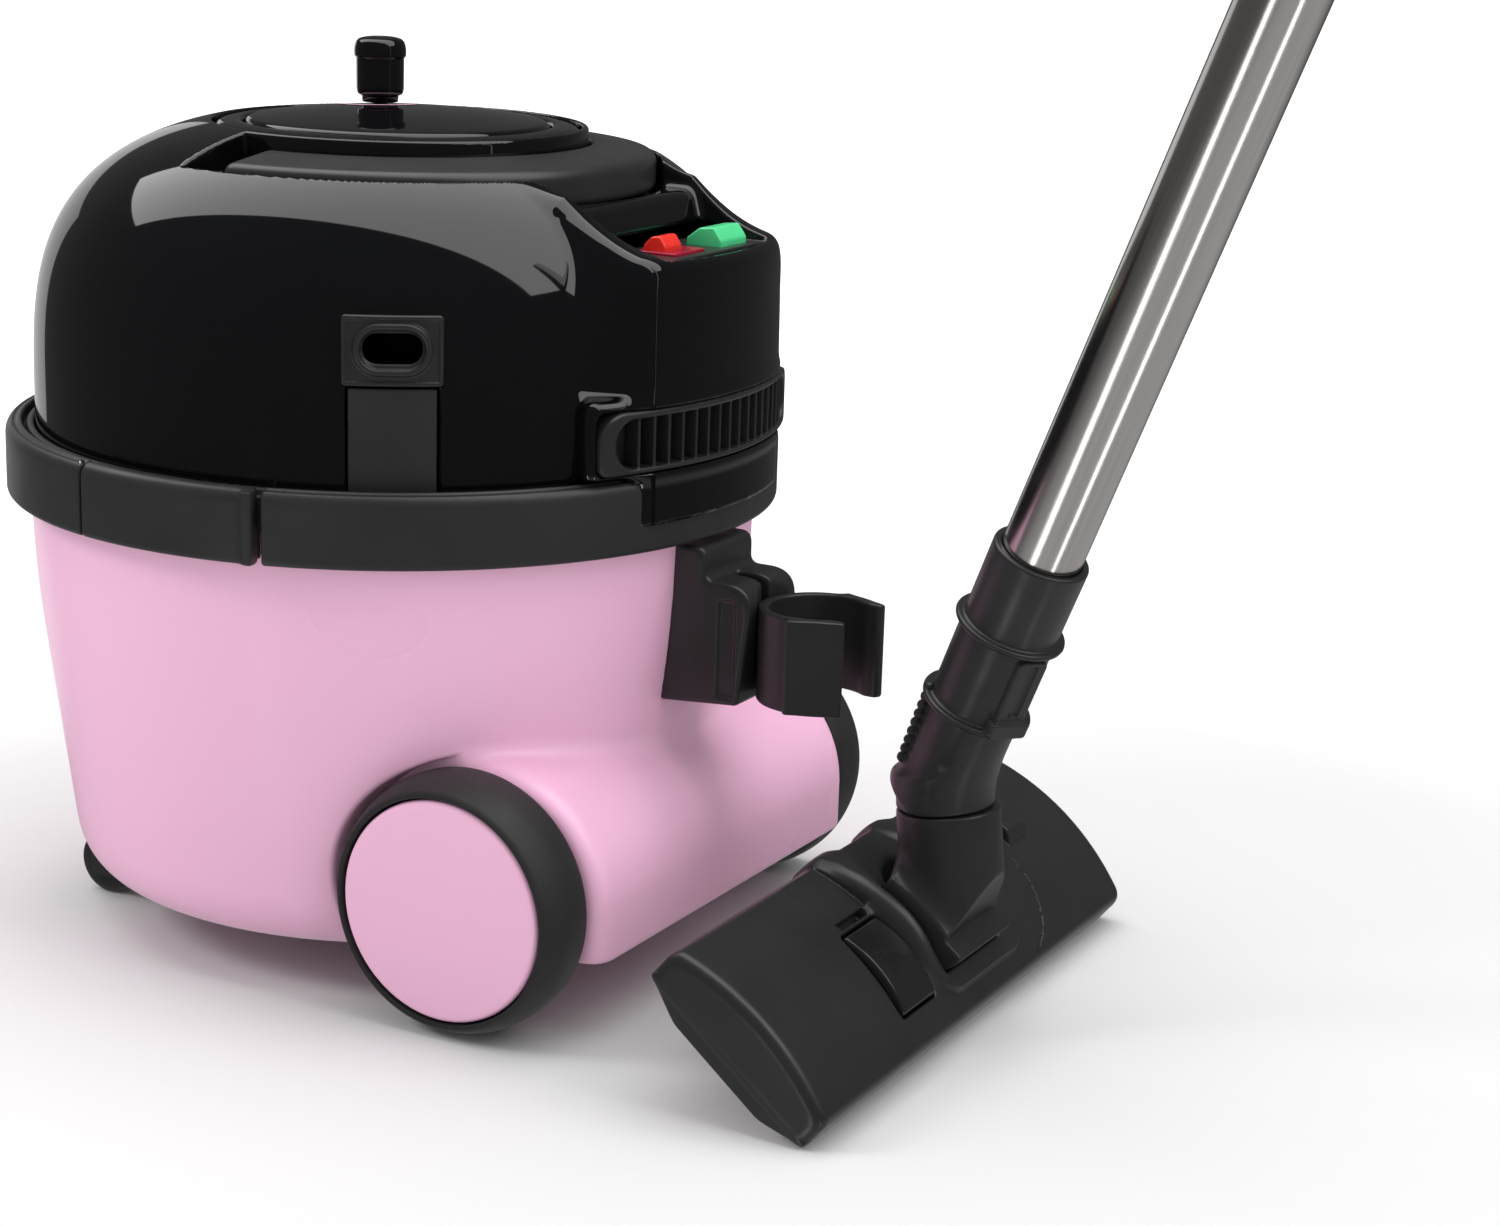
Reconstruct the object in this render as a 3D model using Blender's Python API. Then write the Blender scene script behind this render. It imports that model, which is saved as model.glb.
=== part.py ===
"""Canister vacuum cleaner with its floor tool and lower wand, as separate pieces.

Units are metres and +Z is up. All sizes below are millimetres, turned into metres by
the shape helpers. The design frame has its Z axis through the round tub, its front
towards -Y and its left side towards +X. The empty named assembly moves the whole
design so that its bounding box is centred on the origin and stands on the floor.
"""
from math import cos, pi, radians, sin, sqrt

import bmesh
import bpy
from mathutils import Matrix, Vector

# ---------------------------------------------------------------- driving dimensions
MM = 0.001
GAP = 0.35                      # running clearance between neighbouring pieces
FLOOR = -6.0                    # height of the floor in the design frame

RING_R = 160.0                  # outer radius of the bumper ring
RING_IN = 148.6
RING_LOW = 175.5
RING_HIGH = 205.0

HAT_R = 148.0                   # the black hood above the ring
LID_R = 62.0                    # lid of the cable reel
LID_RING_R = 74.5
BORE_R = 70.0                   # well in the hood that the reel turns in
HANDLE_IN = 79.0
HANDLE_OUT = 106.0
CHANNEL_IN = 77.2               # walls of the channel that the folded handle lies in
CHANNEL_OUT = 108.0
HANDLE_PIVOT_Z = 309.0
OUTLET_ANGLE = 34.25            # the cable outlet, from the left side towards the back
OUTLET_Z = 257.0
BLOCK_HALF = 55.0               # rear switch block
BLOCK_R = 161.0
DECK_Z = 285.0

WHEEL_Y = 111.0
WHEEL_R = 51.5
WHEEL_Z = FLOOR + WHEEL_R
WHEEL_IN = 104.0                # inner face of the rear tyre
WHEEL_OUT = 132.0
AXLE_IN = 88.0                  # ends of the stub axle that the wheel turns on
AXLE_OUT = 122.0
AXLE_R = 5.0
CASTER = (69.0, -91.0)
CASTER_R = 14.0
CASTER_Z = FLOOR + CASTER_R
CASTER_TRAIL = -8.0

INLET_Z = 118.0
CLIP = (3.0, 203.0)             # centre of the clip that parks the wand
CLIP_R = 24.0
CLIP_MOUTH = 15.0               # half the opening that the wand is pressed through

TOOL_SCALE = 1.01336            # sizes of the tool, its neck and wand are drawn at 1 : this
TOOL_SHIFT = (-13.67, -9.57, FLOOR)
TILT = 39.3                     # the floor tool stands on its long edge
TOOL_X = 18.0
TOOL_Y = 249.5
TOOL_HALF = 139.0
TOOL_DEPTH = 41.0
TOOL_WALL = 15.0                # height of the tool's side wall
TOOL_ARCH = 8.0                 # rise of its arched top
PIVOT_V = 4.0                   # tilt axis of the neck, in the tool's own frame
PIVOT_W = 30.0
NECK_LEAN_MAX = 58.5            # furthest lean of the neck towards the tool's back edge
NECK_R = 18.0
SEAM = 40.0                     # from the tilt axis to the swivel seam
ELBOW = 49.0                    # from the tilt axis to the bend
WAND_DIR = Vector((0.107, 0.377, 0.920)).normalized()
WAND_R = 15.5
WAND_END_R = 14.4               # its tapered upper end
SOCKET_LOW = 35.0               # distances from the bend along the wand
WAND_LOW = 62.0
SOCKET_RIM = 107.0
WAND_TOP = 550.0


# ---------------------------------------------------------------- frames of the tool
def tool_matrix():
    """Frame of the floor tool: X along it, Y across it, Z out of its top."""
    height = TOOL_DEPTH * sin(radians(TILT))
    turn = Matrix.Rotation(-radians(TILT), 4, "X")
    return Matrix.Translation(Vector((TOOL_X, TOOL_Y, height)) * MM) @ turn


def knuckle_origin():
    return tool_matrix() @ (Vector((0, PIVOT_V, PIVOT_W)) * MM)


KNUCKLE_DIR = Vector((0, -0.113, 0.994)).normalized()


def axis_matrix(origin, direction):
    """Frame with its Z axis along a direction, from an origin in metres."""
    turn = Vector((0, 0, 1)).rotation_difference(direction).to_matrix().to_4x4()
    return Matrix.Translation(origin) @ turn


def knuckle_matrix():
    return axis_matrix(knuckle_origin(), KNUCKLE_DIR)


def wand_matrix():
    return axis_matrix(knuckle_origin() + KNUCKLE_DIR * ELBOW * MM, WAND_DIR)


def tool_group():
    """Frame that sets the tool, its neck and the wand to size and on the floor."""
    return Matrix.Translation(Vector(TOOL_SHIFT) * MM) @ Matrix.Scale(TOOL_SCALE, 4)


def centre_y():
    """Middle of the whole design between its front and the top of the wand."""
    top = tool_group() @ wand_matrix() @ (Vector((0, 0, WAND_TOP)) * MM)
    lean = sqrt(1 - WAND_DIR.y ** 2)
    return (top.y + (WAND_END_R * TOOL_SCALE * lean - RING_R) * MM) / 2


# ---------------------------------------------------------------- materials
def material(name, colour, roughness, metallic=0.0):
    made = bpy.data.materials.new(name)
    made.use_nodes = True
    shader = made.node_tree.nodes["Principled BSDF"]
    shader.inputs["Base Color"].default_value = (*colour, 1)
    shader.inputs["Roughness"].default_value = roughness
    shader.inputs["Metallic"].default_value = metallic
    return made


def make_materials():
    return {
        "pink_plastic": material("pink_plastic", (0.83, 0.42, 0.62), 0.28),
        "black_gloss": material("black_gloss", (0.012, 0.012, 0.014), 0.08),
        "black_matte": material("black_matte", (0.02, 0.021, 0.022), 0.5),
        "rubber": material("rubber", (0.02, 0.02, 0.02), 0.7),
        "steel": material("steel", (0.62, 0.59, 0.57), 0.25, 1.0),
        "red_plastic": material("red_plastic", (0.75, 0.03, 0.02), 0.25),
        "green_plastic": material("green_plastic", (0.05, 0.5, 0.16), 0.25),
        "white_cloth": material("white_cloth", (0.78, 0.77, 0.73), 0.9),
        "grey_plastic": material("grey_plastic", (0.25, 0.25, 0.26), 0.45),
        "copper": material("copper", (0.7, 0.32, 0.16), 0.35, 1.0),
        "bristle": material("bristle", (0.06, 0.06, 0.06), 0.85),
    }


# ---------------------------------------------------------------- shape helpers
BROKEN_BY_EXACT = ("drum_tub", "tub_inside", "hood", "neck_knuckle")    # open edges with EXACT


class Shop:
    """Adds named objects under the assembly empty."""

    def __init__(self):
        self.materials = make_materials()
        self.base = Matrix.Identity(4)
        self.assembly = bpy.data.objects.new("assembly", None)
        self.assembly.location = (0, -centre_y(), -FLOOR * MM)
        bpy.context.scene.collection.objects.link(self.assembly)

    def add(self, name, mesh, slot=None, frame=None, pivot=(0, 0, 0)):
        """Place a bmesh, given in millimetres of its frame, with its origin on pivot."""
        bmesh.ops.recalc_face_normals(mesh, faces=mesh.faces)
        place = self.base @ (frame if frame is not None else Matrix.Identity(4))
        spot = place @ (Vector(pivot) * MM)
        shift = Matrix.Scale(MM * place.median_scale, 4) @ Matrix.Translation(-Vector(pivot))
        bmesh.ops.transform(mesh, matrix=shift, verts=mesh.verts)
        data = bpy.data.meshes.new(name)
        mesh.to_mesh(data)
        mesh.free()
        data.shade_smooth()
        data.set_sharp_from_angle(angle=radians(32))
        made = bpy.data.objects.new(name, data)
        bpy.context.scene.collection.objects.link(made)
        made.parent = self.assembly
        made.matrix_local = Matrix.LocRotScale(spot, place.to_quaternion(), None)
        if slot is None:
            made.hide_render = True
            made.display_type = "WIRE"
        else:
            data.materials.append(self.materials[slot])
        return made

    def combine(self, target, mesh, operation, frame=None):
        """Combine an object with a shape that becomes a hidden guide object."""
        count = len(target.modifiers)
        self.combine_with(target, self.add(f"{target.name}_tool_{count}", mesh, None, frame),
                          operation)

    def combine_with(self, target, guide, operation):
        """Add a Boolean modifier whose other shape is a guide object."""
        step = target.modifiers.new(f"{operation.lower()}_{len(target.modifiers)}", "BOOLEAN")
        step.operation = operation
        step.object = guide
        if target.name in BROKEN_BY_EXACT:
            step.solver = "MANIFOLD"

    def cut(self, target, mesh, frame=None):
        self.combine(target, mesh, "DIFFERENCE", frame)

    def join(self, target, mesh, frame=None):
        self.combine(target, mesh, "UNION", frame)


def box(x0, x1, y0, y1, z0, z1):
    mesh = bmesh.new()
    bmesh.ops.create_cube(mesh, size=1.0)
    size = Matrix.Diagonal((x1 - x0, y1 - y0, z1 - z0, 1))
    middle = Matrix.Translation(((x0 + x1) / 2, (y0 + y1) / 2, (z0 + z1) / 2))
    bmesh.ops.transform(mesh, matrix=middle @ size, verts=mesh.verts)
    return mesh


def prism(outline, low, high, axis="Z"):
    """Extrude an outline. Axis X takes (y, z) points and axis Z takes (x, y) points."""
    mesh = bmesh.new()
    spots = {"Z": lambda a, b, h: (a, b, h), "X": lambda a, b, h: (h, a, b)}[axis]
    bottom = [mesh.verts.new(spots(a, b, low)) for a, b in outline]
    top = [mesh.verts.new(spots(a, b, high)) for a, b in outline]
    mesh.faces.new(bottom)
    mesh.faces.new(top)
    for index in range(len(outline)):
        after = (index + 1) % len(outline)
        mesh.faces.new((bottom[index], bottom[after], top[after], top[index]))
    return mesh


def lathe(profile, segments=64, start=0.0, end=360.0):
    """Turn a closed (radius, z) profile about Z. Points on the axis become poles."""
    mesh = bmesh.new()
    whole = abs(end - start) >= 360
    count = segments if whole else segments + 1
    step = radians(end - start) / segments
    rings = []
    for radius, height in profile:
        if radius == 0:
            rings.append([mesh.verts.new((0, 0, height))] * count)
            continue
        angles = [radians(start) + step * index for index in range(count)]
        rings.append([mesh.verts.new((radius * cos(a), radius * sin(a), height))
                      for a in angles])
    for row, ring in enumerate(rings):
        following = rings[(row + 1) % len(rings)]
        for index in range(segments):
            after = (index + 1) % count
            corners = (ring[index], ring[after], following[after], following[index])
            unique = list(dict.fromkeys(corners))
            if len(unique) > 2:
                mesh.faces.new(unique)
    if not whole:
        mesh.faces.new([ring[0] for ring in rings])
        mesh.faces.new([ring[-1] for ring in rings])
    return mesh


def turned(mesh, origin, direction):
    """Move a bmesh made about Z so that Z lies along direction at origin."""
    turn = Vector((0, 0, 1)).rotation_difference(Vector(direction)).to_matrix().to_4x4()
    move = Matrix.Translation(Vector(origin))
    bmesh.ops.transform(mesh, matrix=move @ turn, verts=mesh.verts)
    return mesh


def rod(origin, direction, radius, length, segments=16):
    solid = lathe([(0, 0), (radius, 0), (radius, length), (0, length)], segments)
    return turned(solid, origin, direction)


def ring(origin, direction, outer, inner, length, segments=24):
    profile = [(inner, 0), (outer, 0), (outer, length), (inner, length)]
    return turned(lathe(profile, segments), origin, direction)


def sector(r0, r1, z0, z1, a0, a1, segments=12):
    return lathe([(r0, z0), (r1, z0), (r1, z1), (r0, z1)], segments, a0, a1)


def arc_points(centre, radius, a0, a1, count):
    angles = [radians(a0 + (a1 - a0) * index / count) for index in range(count + 1)]
    return [(centre[0] + radius * cos(a), centre[1] + radius * sin(a)) for a in angles]


def mirrored(mesh, side):
    """Flip a bmesh to the right-hand side when side is -1."""
    if side < 0:
        bmesh.ops.scale(mesh, vec=(-1, 1, 1), verts=mesh.verts)
    return mesh


def side_name(side):
    return "left" if side > 0 else "right"


# ---------------------------------------------------------------- tub and what it holds
HOUSING_LOW = 25.0              # wheel housing behind the drum
HOUSING_HALF = 103.0
HOUSING_REAR = 55.0             # from the wheels' axis to its rear face
WELL_IN = 99.8                  # wall between the tub's inside and a rear wheel
ARCH_GAP = 2.5                  # between a rear tyre and the drum
TUB_PROFILE = [(0, 12), (112, 12), (124, 15.5), (131, 22), (136, 43), (141, 79), (148, 132),
               (150.2, 160), (150.2, 174)]


def offset_profile(amount):
    """The tub's outside, moved outwards by an amount, without its poles."""
    return [(max(radius + amount, 0) if radius else 0, height) for radius, height in TUB_PROFILE]


def outside_of_tub():
    """Solid that hugs the outside of the tub's lower front, on the left."""
    hug = [(radius, height) for radius, height in offset_profile(0.15) if 100 < radius < 143]
    return lathe([(112, 0)] + hug + [(175, 79), (175, 0)], 24, 270, 345)


def housing_outline():
    """Side view of the wheel housing: rounded like the wheels above, upright behind."""
    front = 45.0
    count = 12
    angles = [pi / 2 * index / count for index in range(count + 1)]
    over = [(WHEEL_Y + HOUSING_REAR * cos(a), WHEEL_Z + WHEEL_R * sin(a)) for a in angles]
    return [(front, HOUSING_LOW), (WHEEL_Y + HOUSING_REAR, HOUSING_LOW)] + over + [
        (front, WHEEL_Z + WHEEL_R)]


def is_housing_rim(edge):
    """True for the rear and top edges of the housing's two side faces."""
    first, last = (vert.co for vert in edge.verts)
    same_side = abs(first.x - last.x) < 1
    return same_side and max(first.z, last.z) > HOUSING_LOW + 1 and max(first.y, last.y) > 50


def wheel_housing():
    mesh = prism(housing_outline(), -HOUSING_HALF, HOUSING_HALF, "X")
    rim = [edge for edge in mesh.edges if is_housing_rim(edge)]
    bmesh.ops.bevel(mesh, geom=rim, offset=9, segments=3, affect="EDGES", profile=0.5)
    return mesh


def tub(shop):
    outside = lathe(TUB_PROFILE + [(0, 174)], 56)
    made = shop.add("drum_tub", outside, "pink_plastic")
    shop.join(made, wheel_housing())
    inside = [(0, 15.5), (111, 15.5), (122, 19), (128, 25), (133, 44), (138, 79), (145, 132),
              (147, 160), (147, 190), (0, 190)]
    hollow = shop.add("tub_inside", lathe(inside, 56))
    for side in (1, -1):
        well = rod((WELL_IN * side, WHEEL_Y, WHEEL_Z), (side, 0, 0), WHEEL_R + 6, 60, 36)
        shop.cut(hollow, well)
    shop.combine_with(made, hollow, "DIFFERENCE")
    for side in (1, -1):
        x, y = CASTER[0] * side, CASTER[1]
        rim = HOUSING_HALF + GAP
        shop.join(made, rod((x, y, 12.5), (0, 0, 1), 29, 33.5, 32))
        shop.cut(made, mirrored(outside_of_tub(), side))
        shop.cut(made, rod((x, y, -5), (0, 0, 1), 26, 40, 32))
        shop.cut(made, rod((x, y, 30), (0, 0, 1), 4 + GAP, 12.5, 16))
        shop.cut(made, rod((rim * side, WHEEL_Y, WHEEL_Z), (side, 0, 0), WHEEL_R + ARCH_GAP, 60,
                           36))
        shop.cut(made, rod(((AXLE_IN - 0.5) * side, WHEEL_Y, WHEEL_Z), (side, 0, 0), AXLE_R + GAP,
                           22.5, 16))
    shop.cut(made, rod((0, -130, INLET_Z), (0, -1, 0), 21 + GAP, 40, 32))
    return made


def inlet(shop):
    """Collar that the hose pushes into, with the seal that meets the dust bag."""
    collar = ring((0, -137, INLET_Z), (0, -1, 0), 21, 17.5, 14)
    made = shop.add("inlet_collar", collar, "black_matte")
    shop.join(made, ring((0, -149.6, INLET_Z), (0, -1, 0), 27, 17.5, 8.4))
    seal = ring((0, -133.6, INLET_Z), (0, -1, 0), 24, 17.5, 3)
    shop.add("inlet_seal", seal, "rubber")


def bag_and_filter(shop):
    bag = [(0, 47), (98, 47), (109, 54), (111, 70), (108, 98), (60, 112), (0, 112)]
    shop.add("dust_bag", lathe(bag, 26), "white_cloth")
    rim = [(139, 166), (146.6, 166), (146.6, 174.6), (139, 174.6)]
    shop.add("filter_ring", lathe(rim, 36), "grey_plastic")
    cloth = [(0, 116), (98, 123), (138.6, 163), (138.6, 174.4), (136, 174.4), (136, 164),
             (97, 126), (0, 119)]
    shop.add("filter_cloth", lathe(cloth, 36), "white_cloth")


def rear_wheels(shop):
    """Tyre, hub and pink cap on a stub axle, on each side."""
    for side in (1, -1):
        name = side_name(side)
        start = (WHEEL_IN * side, WHEEL_Y, WHEEL_Z)
        way = (side, 0, 0)
        wide = WHEEL_OUT - WHEEL_IN
        tread = [(44.5, 1), (48.5, 0), (51, 2.5), (WHEEL_R, 6), (WHEEL_R, wide - 12),
                 (49.6, wide - 5.5), (47.6, wide - 1.3), (46.2, wide), (44.5, wide - 1)]
        hub = [(5.4, 2), (15, 2), (15, 5), (38, 5), (38, 1.5), (44.1, 1.5), (44.1, wide - 4.5),
               (5.4, wide - 4.5)]
        cap = [(0, wide - 4), (44, wide - 4), (44, wide - 2), (42.5, wide - 0.6), (0, wide - 0.4)]
        shop.add(f"wheel_{name}_tyre", turned(lathe(tread, 36), start, way), "rubber",
                 pivot=start)
        shop.add(f"wheel_{name}_hub", turned(lathe(hub, 26), start, way), "black_matte",
                 pivot=start)
        shop.add(f"wheel_{name}_cap", turned(lathe(cap, 26), start, way), "pink_plastic",
                 pivot=start)
        axle = rod((AXLE_IN * side, WHEEL_Y, WHEEL_Z), way, AXLE_R, AXLE_OUT - AXLE_IN)
        shop.add(f"axle_{name}", axle, "steel")


def casters(shop):
    for side in (1, -1):
        name = side_name(side)
        x, y = CASTER[0] * side, CASTER[1]
        stem = [(0, 28.6), (15, 28.6), (15, 34), (4, 34), (4, 42), (0, 42)]
        fork = turned(lathe(stem, 32), (x, y, 0), (0, 0, 1))
        made = shop.add(f"caster_{name}_fork", fork, "black_matte", pivot=(x, y, 34))
        centre_y_mm = y + CASTER_TRAIL
        for cheek in (1, -1):
            near, far = sorted((6.6 * cheek, 9.4 * cheek))
            leg = box(x + near, x + far, y + CASTER_TRAIL - 5, y + 6, CASTER_Z - 5, 30)
            shop.join(made, leg)
        shop.join(made, rod((x - 9, centre_y_mm, CASTER_Z), (1, 0, 0), 1.9, 18, 16))
        roll = [(2.4, 0), (12, 0), (CASTER_R, 2), (CASTER_R, 10.4), (12, 12.4), (2.4, 12.4)]
        spot = (x - 6.2, centre_y_mm, CASTER_Z)
        shop.add(f"caster_{name}_wheel", turned(lathe(roll, 32), spot, (1, 0, 0)), "rubber",
                 pivot=(x, centre_y_mm, CASTER_Z))


def dock(shop):
    """Bracket on the tub's back with a C-shaped clip that parks the wand."""
    side = [(140, 108), (177, 111), (183, 148), (180, 157), (170, 161), (163, 163), (160, 171),
            (152, 173.5), (140, 173.5)]
    made = shop.add("dock_bracket", prism(side, -17, 23, "X"), "black_matte")
    shop.cut(made, lathe(offset_profile(GAP) + [(0, 190)], 56))
    shop.cut(made, box(0, 6, 165, 200, 117, 180))
    shop.cut(made, rod((*CLIP, 100), (0, 0, 1), CLIP_R + GAP, 80, 26))
    clip = ring((*CLIP, 114), (0, 0, 1), CLIP_R, 20, 38, 26)
    made = shop.add("dock_clip", clip, "black_matte")
    shop.join(made, box(GAP, 6 - GAP, 166, 182, 119, 150))
    shop.cut(made, box(CLIP[0] - CLIP_MOUTH, CLIP[0] + CLIP_MOUTH, CLIP[1] + 10, CLIP[1] + 40,
                       100, 170))


# ---------------------------------------------------------------- head: ring and latches
LATCH_PIVOT_ANGLE = -15.0
LATCH_R0 = 153.8
LATCH_PIVOT_R = 156.9


def latch_pivot(side, height=0.0):
    angle = radians(LATCH_PIVOT_ANGLE)
    return (LATCH_PIVOT_R * cos(angle) * side, LATCH_PIVOT_R * sin(angle), height)


def bumper_ring(shop):
    profile = [(RING_IN, RING_LOW), (RING_R, RING_LOW), (RING_R, 202), (159, 204.2),
               (156.5, RING_HIGH), (RING_IN, RING_HIGH)]
    made = shop.add("bumper_ring", lathe(profile, 72), "black_matte")
    for side in (1, -1):
        shop.cut(made, mirrored(sector(153.4, 170, 170, 212, -14.0, 16.6), side))
        shop.cut(made, mirrored(sector(153.4, 170, 178.2, 202.3, -16.4, -13.5, 4), side))
        shop.cut(made, rod(latch_pivot(side, 174), (0, 0, 1), 1.3, 34, 12))


def latches(shop):
    for side in (1, -1):
        name = side_name(side)
        pivot = latch_pivot(side, 190)
        cover = mirrored(sector(LATCH_R0, RING_R, RING_LOW, 204.5, -13.4, 15.3), side)
        made = shop.add(f"latch_{name}", cover, "black_matte", pivot=pivot)
        shop.join(made, mirrored(sector(LATCH_R0, RING_R, 178.6, 201.9, -15, -13, 2), side))
        shop.join(made, rod(latch_pivot(side, 178.6), (0, 0, 1), 3.1, 23.3, 20))
        lip = mirrored(sector(157, 161.4, RING_LOW, 204.5, 14.4, 15.3, 2), side)
        shop.join(made, lip)
        shop.cut(made, rod(latch_pivot(side, 170), (0, 0, 1), 1.5, 45, 12))
        pin = rod(latch_pivot(side, 175.8), (0, 0, 1), 1.2, 28.8, 12)
        shop.add(f"latch_{name}_pin", pin, "steel")


# ---------------------------------------------------------------- head: hood
HAT_PROFILE = [(HAT_R, 186), (HAT_R, 217), (147.2, 250), (145, 262), (141.5, 275), (136, 287),
               (128, 299), (120, 307), (112, 313), (104, 318), (96, 321), (88, 323.3), (80, 325),
               (64, 327)]
HANDLE_START = -14.5            # the handle's channel runs from here round the back


def runs_along_top(edge):
    """True for the edges that follow the top of the switch block from front to back."""
    first, last = edge.verts
    return abs(first.co.x - last.co.x) < 1 and min(first.co.z, last.co.z) > DECK_Z - 1


def hat(shop):
    made = shop.add("hood", lathe([(0, 186)] + HAT_PROFILE + [(0, 328)], 56), "black_gloss")
    side = [(60, 206), (170, 206), (170, 285), (161, 287.5), (148, 289.5), (130, 298),
            (112, 308), (90, 313), (60, 313)]
    block = prism(side, -BLOCK_HALF, BLOCK_HALF, "X")
    ridges = [edge for edge in block.edges if runs_along_top(edge)]
    bmesh.ops.bevel(block, geom=ridges, offset=4, segments=2, affect="EDGES", profile=0.5)
    shop.join(made, block)
    shop.join(made, sector(120, 159.6, 206, 236, 61.5, 118.5, 20))
    shop.cut(made, sector(BLOCK_R, 240, 180, 330, 40, 140, 32))
    cavity = [(0, 180), (145, 180), (145, 248), (142, 262), (134, 280), (126, 291), (0, 291)]
    shop.cut(made, lathe(cavity, 56))
    shop.cut(made, box(-51, 51, 60, 152, 209, 279))
    shop.join(made, box(-50, 50, 92, 154, 278, 287))
    shop.cut(made, rod((0, 0, 270), (0, 0, 1), BORE_R, 80, 36))
    shop.cut(made, rod((0, 0, 317.5), (0, 0, 1), LID_RING_R + GAP, 30, 36))
    channel = sector(CHANNEL_IN, CHANNEL_OUT, 294.5, 340, HANDLE_START, 180 - HANDLE_START, 36)
    shop.cut(made, channel)
    shop.cut(made, box(-41, 41, 96, 151, DECK_Z, 340))
    shop.cut(made, box(-37, 25, 126.2, 146.8, 281.5, 290))
    shop.cut(made, sector(150, 170, 207.2, 232.3, 62.6, 117.4, 20))
    for pivot_side in (1, -1):
        bore = rod((72 * pivot_side, 0, HANDLE_PIVOT_Z), (pivot_side, 0, 0), 2.5 + 0.2, 39.5, 16)
        shop.cut(made, bore)
    shop.cut(made, sector(146.6, 160, 243, 270, 26.9, 41.6, 6))
    shop.cut(made, sector(146.6, 160, 200, 242.6, 27.4, 41.0, 6))
    shop.cut(made, outlet_slot(12, 7))
    return made


def outlet_slot(half_wide, half_high):
    """Straight slot through the hood's wall at the cable outlet."""
    mesh = box(130, 175, -half_wide, half_wide, OUTLET_Z - half_high, OUTLET_Z + half_high)
    turn = Matrix.Rotation(radians(OUTLET_ANGLE), 4, "Z")
    bmesh.ops.transform(mesh, matrix=turn, verts=mesh.verts)
    return mesh


def exhaust_grille(shop):
    """Curved frame with upright bars, let into the back of the hood."""
    made = shop.add("exhaust_grille", sector(154.5, 161.8, 207.5, 232, 63, 117, 24), "black_matte")
    slots = 13
    for index in range(slots):
        middle = 66.2 + 47.6 * index / (slots - 1)
        shop.cut(made, sector(150, 170, 211, 228.5, middle - 1.3, middle + 1.3, 2))


def cable_outlet(shop):
    plate = sector(146.9, 151, 243.3, 269.7, 27.2, 41.3, 6)
    made = shop.add("cable_outlet", plate, "black_matte")
    shop.cut(made, outlet_slot(11, 6))
    strip = sector(146.9, 149.2, 206, 242.3, 27.7, 40.7, 6)
    shop.add("cable_strip", strip, "black_matte")


def switches(shop):
    """Two rockers in one plate, on the deck behind the handle."""
    plate = box(-40, 34, 121, 150.4, DECK_Z + GAP, DECK_Z + 2.4)
    made = shop.add("switch_plate", plate, "black_matte")
    for name, middle, slot in (("red_switch", 12.0, "red_plastic"),
                               ("green_switch", -24.0, "green_plastic")):
        shop.cut(made, box(middle - 12, middle + 12, 127, 146, 280, 292))
        rocker = [(-8.8, -0.6), (8.8, -0.6), (8.8, 3.0), (5.0, 8.4), (-2.0, 7.4), (-8.8, 3.0)]
        profile = [(136.5 + y, DECK_Z + 1.1 + z) for y, z in rocker]
        shop.add(name, prism(profile, middle - 11, middle + 11, "X"), slot,
                 pivot=(middle, 136.5, DECK_Z + 2))


def carry_handle(shop):
    """Bail that folds down into its channel round the lid."""
    section = [(HANDLE_IN, 302), (HANDLE_OUT, 302), (HANDLE_OUT, 313.5), (104, 316.4),
               (81, 320.2), (HANDLE_IN, 318.8)]
    made = shop.add("carry_handle", lathe(section, 36, -5.5, 185.5), "black_matte",
                    pivot=(0, 0, HANDLE_PIVOT_Z))
    for side in (1, -1):
        start = (HANDLE_IN - 20) * side, 0, HANDLE_PIVOT_Z
        shop.cut(made, rod(start, (side, 0, 0), 2.5 + GAP, 70, 16))
        pin = rod((73 * side, 0, HANDLE_PIVOT_Z), (side, 0, 0), 2.5, 37.5, 16)
        shop.add(f"handle_pin_{side_name(side)}", pin, "steel")


# ---------------------------------------------------------------- head: reel and motor
KNOB = (-17.0, -21.0)


def reel(shop):
    """Lid, crank knob and the drum that the mains cable is wound on."""
    lid = [(0, 316), (60, 316), (61.6, 318), (LID_R, 324.6), (60.5, 326.6), (50, 328.4),
           (35, 330), (18, 331), (0, 331.3)]
    made = shop.add("reel_lid", lathe(lid, 40), "black_gloss", pivot=(0, 0, 320))
    shop.cut(made, rod((*KNOB, 300), (0, 0, 1), 3 + GAP, 50, 12))
    surround = [(LID_R + 0.7, 318), (LID_RING_R, 318), (LID_RING_R, 323), (73, 325),
                (65, 325.8), (LID_R + 0.7, 324.8)]
    shop.add("lid_surround", lathe(surround, 40), "black_gloss")
    spool = [(9, 283), (64, 283), (64, 285.4), (30, 285.4), (30, 310.6), (64, 310.6),
             (64, 313), (9, 313)]
    shop.add("reel_spool", lathe(spool, 26), "grey_plastic", pivot=(0, 0, 300))
    coil = [(30.4, 285.8), (58, 285.8), (60, 298), (58, 310.2), (30.4, 310.2)]
    shop.add("wound_cable", lathe(coil, 26), "black_matte", pivot=(0, 0, 300))
    knob = [(0, 315), (3, 315), (3, 331.3), (6.5, 331.3), (7.2, 334.4), (9.6, 335.6),
            (9.8, 350), (10.6, 350.6), (10.6, 354), (8.8, 356.8), (0, 358)]
    made = lathe(knob, 32)
    made = turned(made, (*KNOB, 0), (0, 0, 1))
    shop.add("crank_knob", made, "black_gloss", pivot=(*KNOB, 332))


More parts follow.
